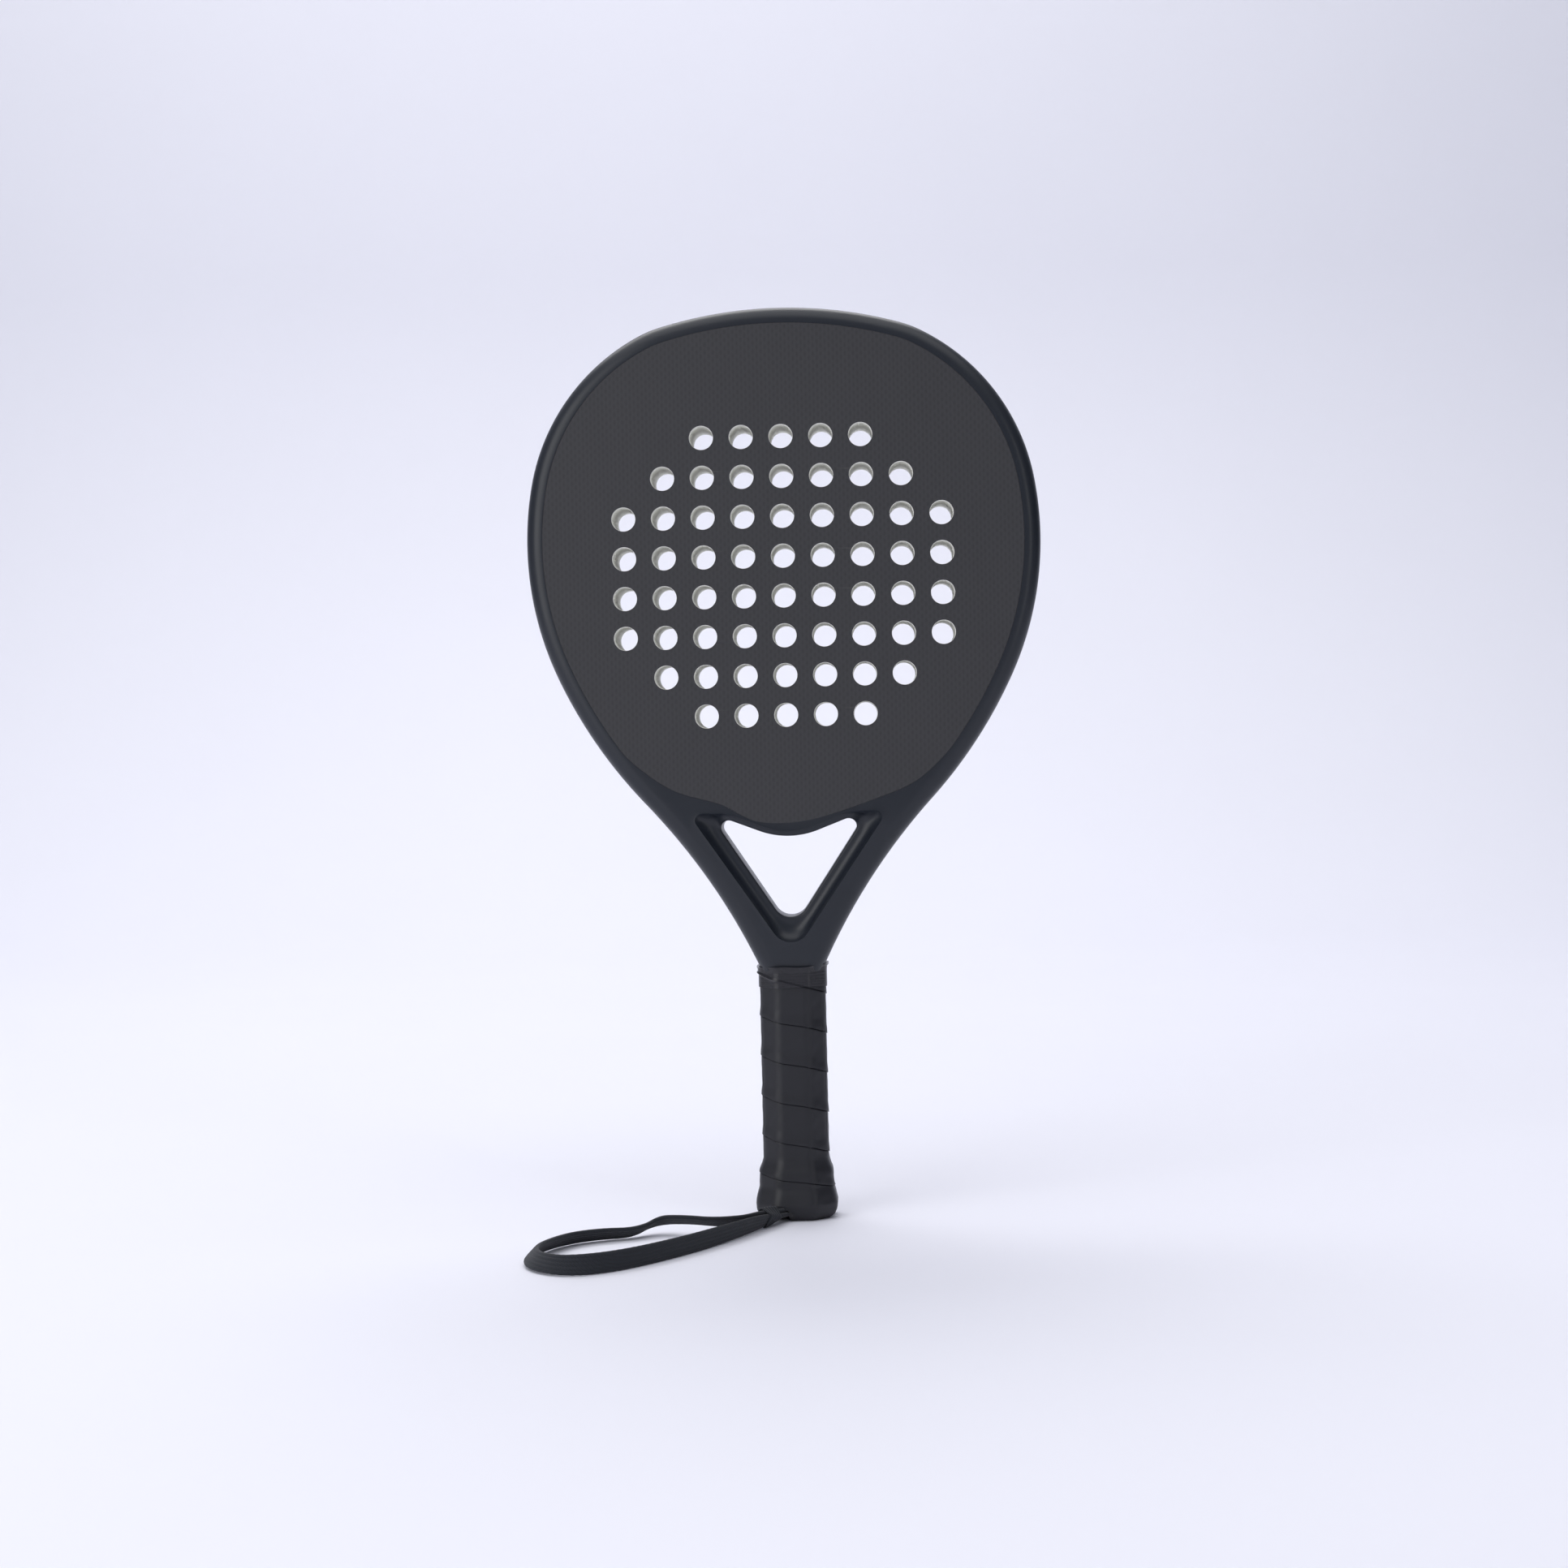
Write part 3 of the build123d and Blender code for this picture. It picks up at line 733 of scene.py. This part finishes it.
def band_section():
    """Flat ribbed braid: across its width and through its thickness, round once."""
    half_width, half_depth = STRAP_WIDTH / 2, STRAP_THICKNESS / 2
    across = np.sin(np.linspace(-math.pi / 2, math.pi / 2, STRAP_SECTION_STEPS)) * half_width
    edge = np.clip(1 - (np.abs(across) / half_width) ** 6, 0, 1) ** 0.5
    ribs = np.abs(np.sin(math.pi * STRAP_RIBS * (across / half_width + 1) / 2)) ** 0.7
    depth = (half_depth - STRAP_RIB_DEPTH * (1 - ribs)) * edge
    front = np.c_[across, depth]
    back = np.c_[across[::-1], -depth[::-1]]
    return np.r_[front, back[1:-1]]


def sweep_band(points, lean, section, shares):
    """Rows of a band carried along a line; lean tips its width from upright, in degrees."""
    ahead = np.gradient(points, axis=0)
    ahead /= np.linalg.norm(ahead, axis=1)[:, None]
    rows = []
    for place, way, tip, share in zip(points, ahead, np.radians(lean), shares):
        level = np.cross(way, (0, 0, 1))
        level /= np.linalg.norm(level)
        upright = np.cross(level, way)
        width = upright * math.cos(tip) + level * math.sin(tip)
        thick = level * math.cos(tip) - upright * math.sin(tip)
        rows.append(place + np.outer(section[:, 0] * share, width) + np.outer(section[:, 1], thick))
    return rows


def along_strap(distance, stations):
    """A value given at stations along the strap, smoothly in between."""
    value = np.interp(distance, *zip(*stations))
    kernel = np.hanning(STRAP_SMOOTHING) / np.hanning(STRAP_SMOOTHING).sum()
    return np.convolve(np.pad(value, STRAP_SMOOTHING // 2, mode="edge"), kernel, mode="valid")


def make_strap():
    """The wrist loop: both legs and the loop between them in one band, and the line down its middle."""
    points, distance = evenly(spline_points(strap_route()), STRAP_STEP)
    unevenness = 0.012 * np.sin(distance * 1.9) * np.sin(distance * 0.31)
    width = along_strap(distance, PINCH) * (1 + unevenness)
    rows = sweep_band(points, along_strap(distance, LEAN), band_section(), width)
    builder = Builder()
    builder.rows(rows)
    for row in (rows[0][::-1], rows[-1]):
        middle = row.mean(0)
        for one, other in zip(row, np.roll(row, -1, axis=0)):
            builder.face([one, other, middle])
    strap = builder.piece("wrist_strap_braid", BRAID)
    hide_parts("wrist_strap")
    return strap, points


def keeper_profile():
    """The sleeve's wall, ribbed outside: places along the sleeve and shares of the wall's thickness."""
    end = KEEPER_LENGTH / 2
    profile = [(-end, KEEPER_END_SHARE), (-end + KEEPER_END_EASING, KEEPER_SHOULDER_SHARE)]
    steps = KEEPER_RIBS * KEEPER_RIB_STEPS
    for k in range(steps + 1):
        rise = 0.5 - 0.5 * math.cos(2 * math.pi * k / KEEPER_RIB_STEPS)
        along = -end + KEEPER_RIB_MARGIN + (KEEPER_LENGTH - 2 * KEEPER_RIB_MARGIN) * k / steps
        profile.append((along, KEEPER_RIB_SHARE + KEEPER_RIB_RISE * rise))
    profile += [(end - KEEPER_END_EASING, KEEPER_SHOULDER_SHARE), (end, KEEPER_END_SHARE)]
    return profile + [(end, 0), (-end, 0)]


def make_keeper():
    """Short sleeve of the same braid wrapped round both legs of the strap, so its ribs go round it."""
    thick, wide = KEEPER_HALF
    corners = [(-thick, wide), (thick, wide), (thick, -wide), (-thick, -wide)]
    outer, normals = rounded_polygon(corners, [KEEPER_ROUNDING] * 4, [6] * 4, [10] * 4)
    inner = outer - normals * KEEPER_WALL
    ends = (-KEEPER_LENGTH / 2, KEEPER_LENGTH / 2)
    rows = []
    for along, share in keeper_profile():
        u, v = (inner + (outer - inner) * share + np.array((KEEPER_SHIFT, 0))).T
        middle, tip = (np.interp(along, ends, values) for values in zip(*KEEPER_ENDS))
        tip = math.radians(tip)
        side = -u * math.cos(tip) + v * math.sin(tip)
        height = middle + u * math.sin(tip) + v * math.cos(tip)
        rows.append([along_exit(KEEPER_MIDDLE + along, s, h) for s, h in zip(side, height)])
    rows.append(rows[0])
    builder = Builder()
    builder.rows(rows)
    keeper = builder.piece("keeper_sleeve", BRAID, body="keeper")
    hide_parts("strap_keeper")
    return keeper


# ---- moulded frame ----

def half_thickness(z):
    """Half the racket's thickness at a height, with the profile's corners eased."""
    heights, halves = zip(*SIDE_PROFILE)
    shifts = np.linspace(-SIDE_SMOOTHING, SIDE_SMOOTHING, SIDE_SAMPLES)
    return np.mean([np.interp(z + shift, heights, halves) for shift in shifts], axis=0)


def side_outline():
    """Points and inward normals down the right side, and the index where the panel's own edge starts."""
    points, normals = [], []
    x, z, heading = 0.0, TOP, 0.0
    split = 0
    for index, (radius, turn) in enumerate(OUTLINE_ARCS):
        count = max(LEAST_ARC_STEPS, math.ceil(abs(radius) * math.radians(turn) / OUTLINE_STEP))
        side = math.copysign(1, radius)
        centre_x = x - radius * math.sin(math.radians(heading))
        centre_z = z - radius * math.cos(math.radians(heading))
        for k in range(count + 1 if index == len(OUTLINE_ARCS) - 1 else count):
            at = math.radians(heading + side * turn * k / count)
            points.append((centre_x + radius * math.sin(at), centre_z + radius * math.cos(at)))
            normals.append((-math.sin(at), -math.cos(at)))
        heading += side * turn
        x = centre_x + radius * math.sin(math.radians(heading))
        z = centre_z + radius * math.cos(math.radians(heading))
        if index == ARCS_BESIDE_PANEL - 1:
            split = len(points)
    return np.array(points), np.array(normals), split


def whole_outline():
    """The outline from the left foot of the neck over the crown to the right foot."""
    points, normals, split = side_outline()
    flip = np.array([-1, 1])
    both = np.r_[(points * flip)[:0:-1], points]
    both_normals = np.r_[(normals * flip)[:0:-1], normals]
    crown = len(points) - 1
    return both, both_normals, (crown - split, crown + split)


def triangulate(loops, outside, holes, extra=()):
    """Triangles of the flat region inside one outline and outside the others."""
    points, edges = [], []
    for loop in loops:
        start = len(points)
        points.extend(Vector(p) for p in loop)
        edges.extend((start + i, start + (i + 1) % len(loop)) for i in range(len(loop)))
    points.extend(Vector(p) for p in extra)
    made, _, faces, _, _, _ = geometry.delaunay_2d_cdt(points, edges, [], 0, CLOSEST_POINTS)
    made = np.array([tuple(p) for p in made])
    faces = np.array(faces)
    middles = made[faces].mean(1)
    first, second, third = (made[faces[:, corner]] for corner in range(3))
    reach, turn = second - first, third - first
    area = np.abs(reach[:, 0] * turn[:, 1] - reach[:, 1] * turn[:, 0]) / 2
    keep = inside(outside, middles) & (area > SMALLEST_TRIANGLE)
    for hole in holes:
        keep &= ~inside(hole, middles)
    return made, faces[keep]


def lattice(region, holes, spacing, margin):
    """Evenly spread points inside a region, a margin away from its edges."""
    low, high = region.min(0), region.max(0)
    grid = []
    for row, z in enumerate(np.arange(low[1], high[1], spacing * GRID_ROW_SHARE)):
        for x in np.arange(low[0] + (row % 2) * spacing / 2, high[0], spacing):
            grid.append((x, z))
    grid = np.array(grid)
    keep = inside(region, grid)
    for hole in holes:
        keep &= ~inside(hole, grid)
    grid = grid[keep]
    edges = np.vstack([region, *holes])
    gaps = np.array([np.min(np.hypot(*(edges - p).T)) for p in grid])
    return grid[gaps > margin]


def panel_outline(points, normals, splits):
    """Edge of a face panel: beside the rim it is concentric, and its lower edge is a free curve."""
    left, right = splits
    beside = (points + normals * PANEL_INSET)[left:right + 1]
    lead_out = np.array(PANEL_BOTTOM[0]) - beside[-1]
    heading = beside[-1] - beside[-2]
    heading /= np.linalg.norm(heading)
    lower = flowing_curve([beside[-1], *PANEL_BOTTOM, beside[0]], 8,
                          heading * np.linalg.norm(lead_out),
                          heading * (1, -1) * np.linalg.norm(lead_out))
    return np.r_[beside, lower[1:-1]]


def throat_loops():
    """Throat opening, its outward normals and the ridge round the scoop, point for point."""
    arc_steps, line_steps = [24, 10, 16, 10], [16, 30, 30, 16]
    opening, outward = rounded_polygon(OPENING_CORNERS, OPENING_RADII, arc_steps, line_steps)
    ridge, _ = rounded_polygon(RIDGE_CORNERS, RIDGE_RADII, arc_steps, line_steps)
    reach = ridge - opening
    width = (reach * outward).sum(1)
    sideways = reach - outward * width[:, None]
    least = EDGE_RADIUS + LEAST_SCOOP_WIDTH
    eased = least + np.log1p(np.exp((width - least) * RIDGE_EASING)) / RIDGE_EASING
    kept_sideways = sideways * smooth_step(0, RIDGE_SIDEWAYS_FADE, width)[:, None]
    return opening, outward, opening + outward * eased[:, None] + kept_sideways


def gap_to(outline, points):
    """Distance from each point to the nearest place on a closed outline."""
    run = np.roll(outline, -1, axis=0) - outline
    length = (run ** 2).sum(1)
    gaps = []
    for p in points:
        share = np.clip(((p - outline) * run).sum(1) / length, 0, 1)
        gaps.append(np.min(np.linalg.norm(outline + run * share[:, None] - p, axis=1)))
    return np.array(gaps)


def scoop_depth(points, ridge, edge):
    """Depth of the scoop: steep below its ridge, then nearly level to the rounded edge of the opening."""
    from_ridge, from_edge = gap_to(ridge, points), gap_to(edge, points)
    width = from_ridge + from_edge
    share = from_ridge / np.maximum(width, 0.01)
    return SCOOP_DEPTH * smooth_step(0, SCOOP_FULL_WIDTH, width) * (1 - (1 - share) ** SCOOP_STEEPNESS)


def edge_rows(opening, outward, ridge, side):
    """Rows over the rounded edge of the opening, from the scoop to the inner wall."""
    edge = opening + outward * EDGE_RADIUS
    deep = scoop_depth(edge, ridge, edge)
    rows = []
    for k in range(EDGE_STEPS + 1):
        angle = math.radians(90 * k / EDGE_STEPS)
        place = opening + outward * EDGE_RADIUS * (1 - math.sin(angle))
        sink = deep + EDGE_RADIUS * (1 - math.cos(angle))
        rows.append(at_depth(place, side * (half_thickness(place[:, 1]) - sink)))
    return rows


def rim_rows(points, normals, side):
    """Rows from the side wall round the rim to the face."""
    rows = []
    for k in range(RIM_STEPS + 1):
        angle = math.radians(90 * k / RIM_STEPS)
        place = points + normals * RIM_RADIUS * (1 - math.cos(angle))
        depth = half_thickness(place[:, 1]) - RIM_RADIUS * (1 - math.sin(angle))
        rows.append(at_depth(place, side * depth))
    return rows


def make_moulding():
    """The tube round the head, the throat's arms with their scoops, and the bridge, in one skin."""
    points, normals, splits = whole_outline()
    panel = panel_outline(points, normals, splits)
    opening, outward, ridge = throat_loops()
    edge = opening + outward * EDGE_RADIUS
    above, below = ridge + outward * RIDGE_SOFTNESS, ridge - outward * RIDGE_SOFTNESS
    scoop, scoop_faces = triangulate([below, edge], below, [edge], lattice(below, [edge], *SCOOP_GRID))
    scoop_y = half_thickness(scoop[:, 1]) - scoop_depth(scoop, ridge, edge)
    inner = points + normals * RIM_RADIUS
    extra = lattice(inner, [panel, above], *FLAT_GRID)
    flat, faces = triangulate([inner, panel, above], inner, [panel, above], extra)
    depth = half_thickness(flat[:, 1])
    builder = Builder()
    walls = {}
    for side in (-1, 1):
        rim = rim_rows(points, normals, side)
        lips = edge_rows(opening, outward, ridge, side)
        crest = []
        for row, lift in ((above, 0), (ridge, RIDGE_RISE), (below, -scoop_depth(below, ridge, edge))):
            crest.append(at_depth(row, side * (half_thickness(row[:, 1]) + lift)))
        order = 1 if side < 0 else -1
        builder.rows(crest, order=order)
        builder.rows(rim, closed=False, order=order)
        builder.rows(lips, order=order)
        builder.surface(at_depth(flat, side * depth), faces, order)
        builder.surface(at_depth(scoop, side * scoop_y), scoop_faces, order)
        walls[side] = (rim[0], lips[-1], at_depth(panel, side * half_thickness(panel[:, 1])))
    builder.strip(walls[1][0], walls[-1][0])
    builder.strip(walls[1][1], walls[-1][1], closed=True)
    builder.strip(walls[-1][2], walls[1][2], closed=True)
    moulding = builder.piece("frame_moulding", LACQUER)
    close_and_orient(moulding)
    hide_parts("frame_tube", "throat_bridge")


def close_and_orient(piece, sharp=50):
    """Fills open ends, turns all faces outwards and marks edges harder than sharp degrees."""
    mesh = bmesh.new()
    mesh.from_mesh(piece.data)
    open_edges = [edge for edge in mesh.edges if edge.is_boundary]
    bmesh.ops.holes_fill(mesh, edges=open_edges, sides=0)
    bmesh.ops.recalc_face_normals(mesh, faces=mesh.faces)
    for edge in mesh.edges:
        if len(edge.link_faces) == 2 and edge.calc_face_angle(0) > math.radians(sharp):
            edge.smooth = False
    mesh.to_mesh(piece.data)
    mesh.free()


# ---- face panels ----

def hole_centres():
    """Places (x, z) of the holes: centred rows, from the top down."""
    centres = []
    for row, count in enumerate(HOLE_ROWS):
        z = HOLE_GRID_MIDDLE + ((len(HOLE_ROWS) - 1) / 2 - row) * HOLE_PITCH
        for column in range(count):
            centres.append(((column - (count - 1) / 2) * HOLE_PITCH, z))
    return centres


def ring(centre, radius):
    """Points (x, z) round a circle."""
    angles = np.linspace(0, 2 * math.pi, HOLE_SEGMENTS, endpoint=False)
    return np.c_[centre[0] + radius * np.cos(angles), centre[1] + radius * np.sin(angles)]


def make_panel(name, side, node):
    """Woven face skin with a fine chamfer at its edge and pale lips round its holes."""
    points, normals, splits = whole_outline()
    edge = panel_outline(points, normals, splits)
    tangents = np.roll(edge, -1, axis=0) - np.roll(edge, 1, axis=0)
    tangents /= np.linalg.norm(tangents, axis=1)[:, None]
    inward = np.c_[tangents[:, 1], -tangents[:, 0]]
    top_edge = edge + inward * PANEL_EDGE
    centres = hole_centres()
    lips = [ring(centre, HOLE_RADIUS + HOLE_LIP) for centre in centres]
    flat, faces = triangulate([top_edge, *lips], top_edge, lips)
    face_y, back_y = side * FACE_Y, side * (FACE_Y - PANEL_THICKNESS)
    order = 1 if side < 0 else -1
    builder = Builder()
    builder.surface(at_depth(flat, face_y), faces, order)
    chamfer = [at_depth(top_edge, face_y), at_depth(edge, side * (FACE_Y - CHAMFER_DROP)),
               at_depth(edge, back_y), at_depth(top_edge, back_y)]
    builder.rows(chamfer, order=-order)
    for centre in centres:
        rows = [at_depth(ring(centre, HOLE_RADIUS + out), side * (FACE_Y - down))
                for out, down in LIP_PROFILE]
        rows.append(at_depth(ring(centre, HOLE_RADIUS + HOLE_LIP), back_y))
        builder.rows(rows, slot=1, order=-order)
    builder.surface(at_depth(flat, back_y), faces, -order)
    panel = builder.piece(name, WEAVE, CUT_EDGE)
    close_and_orient(panel, sharp=PANEL_SHARP)
    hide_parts(node)


# ---- wrapped handle ----

def handle_section(half_width, corner_radius):
    """Eight-sided section with eased corners, starting at the middle of the right-hand flat."""
    half_depth = half_width - WIDTH_OVER_DEPTH
    flat_x, flat_y = half_width * FLAT_SHARE, half_depth * FLAT_SHARE
    corners = [(half_width, flat_y), (half_width, -flat_y), (flat_x, -half_depth), (-flat_x, -half_depth),
               (-half_width, -flat_y), (-half_width, flat_y), (-flat_x, half_depth), (flat_x, half_depth)]
    return rounded_polygon(corners, [corner_radius] * 8, [8] * 8, [10] * 8)


def seam_rise(share):
    """How far the wrap's edge has risen, a share of a turn round from the right by the front."""
    front = SEAM_FRONT_DROP * np.clip(share / 0.5, 0, 1)
    back = (SEAM_PITCH - SEAM_FRONT_DROP) * np.clip((share - 0.5) / 0.5, 0, 1)
    return front + back


def wrap_relief(above):
    """How far the wrap stands out, at a height above its edge: each turn lies over the one below."""
    lip = SEAM_STEP * (1 - smooth_step(SEAM_LIP, SEAM_FADE, above))
    tuck_start, tuck_end = (SEAM_PITCH - below for below in SEAM_TUCK)
    return lip - SEAM_GROOVE * smooth_step(tuck_start, tuck_end, above)


GRIP_HALVES = [limit(half for _, half, _ in GRIP_PROFILE) for limit in (min, max)]
EXTREME_SECTIONS = {(half, corner): handle_section(half, corner)
                    for half in GRIP_HALVES for corner in GRIP_CORNERS}
SECTION_COUNT = len(handle_section(FOOT_HALF, INNER_CORNER)[0])


def grip_column(index, z, out):
    """Points of the grip's outside up one line of its section, raised by out at each height."""
    levels, halves, radii = zip(*GRIP_PROFILE)
    half, radius = np.interp(z, levels, halves), np.interp(z, levels, radii)
    least, most = GRIP_HALVES
    tightest, widest = GRIP_CORNERS
    share = ((half - least) / (most - least))[:, None]
    tight = ((radius - tightest) / (widest - tightest))[:, None]
    place, normal = 0, 0
    for width_share, size in ((1 - share, least), (share, most)):
        for corner_share, corner in ((1 - tight, tightest), (tight, widest)):
            section, normals = EXTREME_SECTIONS[size, corner]
            place = place + width_share * corner_share * section[index]
            normal = normal + width_share * corner_share * normals[index]
    wander = sum(depth * np.sin(z * up + index * around) for depth, up, around in GRIP_WAVES)
    place = place + normal * (out + wander * smooth_step(2, FOOT_Z, z))[:, None]
    return np.c_[place, z]


def make_grip():
    """Outer grip: a strip wound in a helix from the butt up, drawn over the flare of the butt."""
    turns = range(WRAP_TURNS - 1, -1, -1)
    levels = np.array([SEAM_RIGHT - SEAM_PITCH * turn + step for turn in turns for step in WRAP_STEPS])
    relief = np.tile(wrap_relief(np.array(WRAP_STEPS)), len(turns))
    builder = Builder()
    columns = []
    for index in range(SECTION_COUNT + 1):
        z = levels + seam_rise(index / SECTION_COUNT)
        z = np.where(z < SHOULDER_Z, SHOULDER_Z + (z - SHOULDER_Z) * SHOULDER_SQUEEZE, z)
        z = np.clip(z, FOOT_Z, GRIP_TOP)
        out = relief * smooth_step(FOOT_Z, FOOT_Z + FOOT_EASING, z) - GRIP_SINK
        columns.append(grip_column(index % SECTION_COUNT, z, out))
    for one, other in zip(columns, columns[1:]):
        builder.strip(one, other)
    rows = foot_rows()
    stations, halves, _ = zip(*GRIP_PROFILE)
    for z in (*INNER_LEVELS, GRIP_TOP):
        section, _ = handle_section(np.interp(z, stations, halves) - GRIP_WALL, INNER_CORNER)
        lowest = rows[-1][:, 2] if z < FOOT_Z else z
        rows.append(np.c_[section, np.maximum(np.full(SECTION_COUNT, z), lowest)])
    rows.append(np.array([column[-1] for column in columns[:-1]]))
    builder.rows(rows)
    grip = builder.piece("grip_wrap", GRIP)
    close_and_orient(grip)
    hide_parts("over_grip")


def foot_rows():
    """Rows from the wrap down to the edge under the butt, which arches over the strap."""
    section, _ = handle_section(FOOT_HALF, INNER_CORNER)
    past = section @ np.array(ACROSS.xy)
    facing = section @ np.array(EXIT.xy) > 0
    under_arch = smooth_step(NOTCH_HALF_WIDTH, NOTCH_HALF_WIDTH - NOTCH_EASING, np.abs(past))
    lows = FOOT_LOW + NOTCH_HEIGHT * under_arch * facing
    sink = np.full(len(FOOT_SHARES), -GRIP_SINK)
    columns = [grip_column(index, low + (FOOT_Z - low) * FOOT_SHARES, sink)
               for index, low in enumerate(lows)]
    rows = list(np.array(columns).transpose(1, 0, 2))
    inward = rows[-1].copy()
    inward[:, :2] *= 1 - FOOT_INSET
    rows.append(inward)
    return rows


def tape_row(share):
    """The tape's outside round the handle, a share of the way up it, with its end folded on the front."""
    section, normals = handle_section(TAPE_HALF + TAPE_FLARE * smooth_step(0.7, 1, share), TAPE_CORNER)
    x, y = section.T
    low = TAPE_BOTTOM + 0.35 * np.sin(x * 0.2)
    lifted_right = 0.5 * smooth_step(11, 17, x)
    high = TAPE_TOP + 0.02 * x + lifted_right + 0.25 * np.sin(x * 0.33 + y * 0.2)
    z = low + (high - low) * share
    across = np.clip((x + TAPE_HALF) / (2 * TAPE_HALF), 0, 1)
    above_end = z - (END_HEIGHT - END_DROP * across ** END_BEND)
    fold_depth = FOLD_DEPTH + FOLD_EXTRA * (1 - smooth_step(0, 0.45, across))
    fold = np.exp(-((above_end - FOLD_LIFT) / FOLD_WIDTH) ** 2) * fold_depth
    layer = END_LAYER * smooth_step(-END_SOFTNESS, END_SOFTNESS, above_end)
    front = smooth_step(0.5, -0.5, y)
    rolled_edge = TAPE_ROLL * smooth_step(0.93, 1.0, share)
    rolled_right = TAPE_ROLL * smooth_step(0.9, 1.0, share) * smooth_step(10, 17, x)
    out = (fold + layer) * front + TAPE_BACK * (1 - front) + (rolled_edge + rolled_right)
    return np.c_[section + normals * out[:, None], z]


def make_tape():
    """Finishing tape: a tight band whose end is drawn diagonally across the front."""
    rows = [tape_row(k / TAPE_STEPS) for k in range(TAPE_STEPS + 1)]
    section, _ = handle_section(TAPE_HALF - TAPE_WALL, TAPE_INNER_CORNER)
    rows += [np.c_[section, rows[-1][:, 2]], np.c_[section, rows[0][:, 2]], rows[0]]
    builder = Builder()
    builder.rows(rows)
    tape = builder.piece("tape_band", TAPE)
    close_and_orient(tape)
    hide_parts("finishing_tape")


make_camera()
strap, strap_line = make_strap()
keeper = make_keeper()
make_studio()
dress_cad_nodes()
make_moulding()
make_panel("front_panel", -1, "front_face_skin")
make_panel("rear_panel", 1, "rear_face_skin")
make_grip()
make_tape()
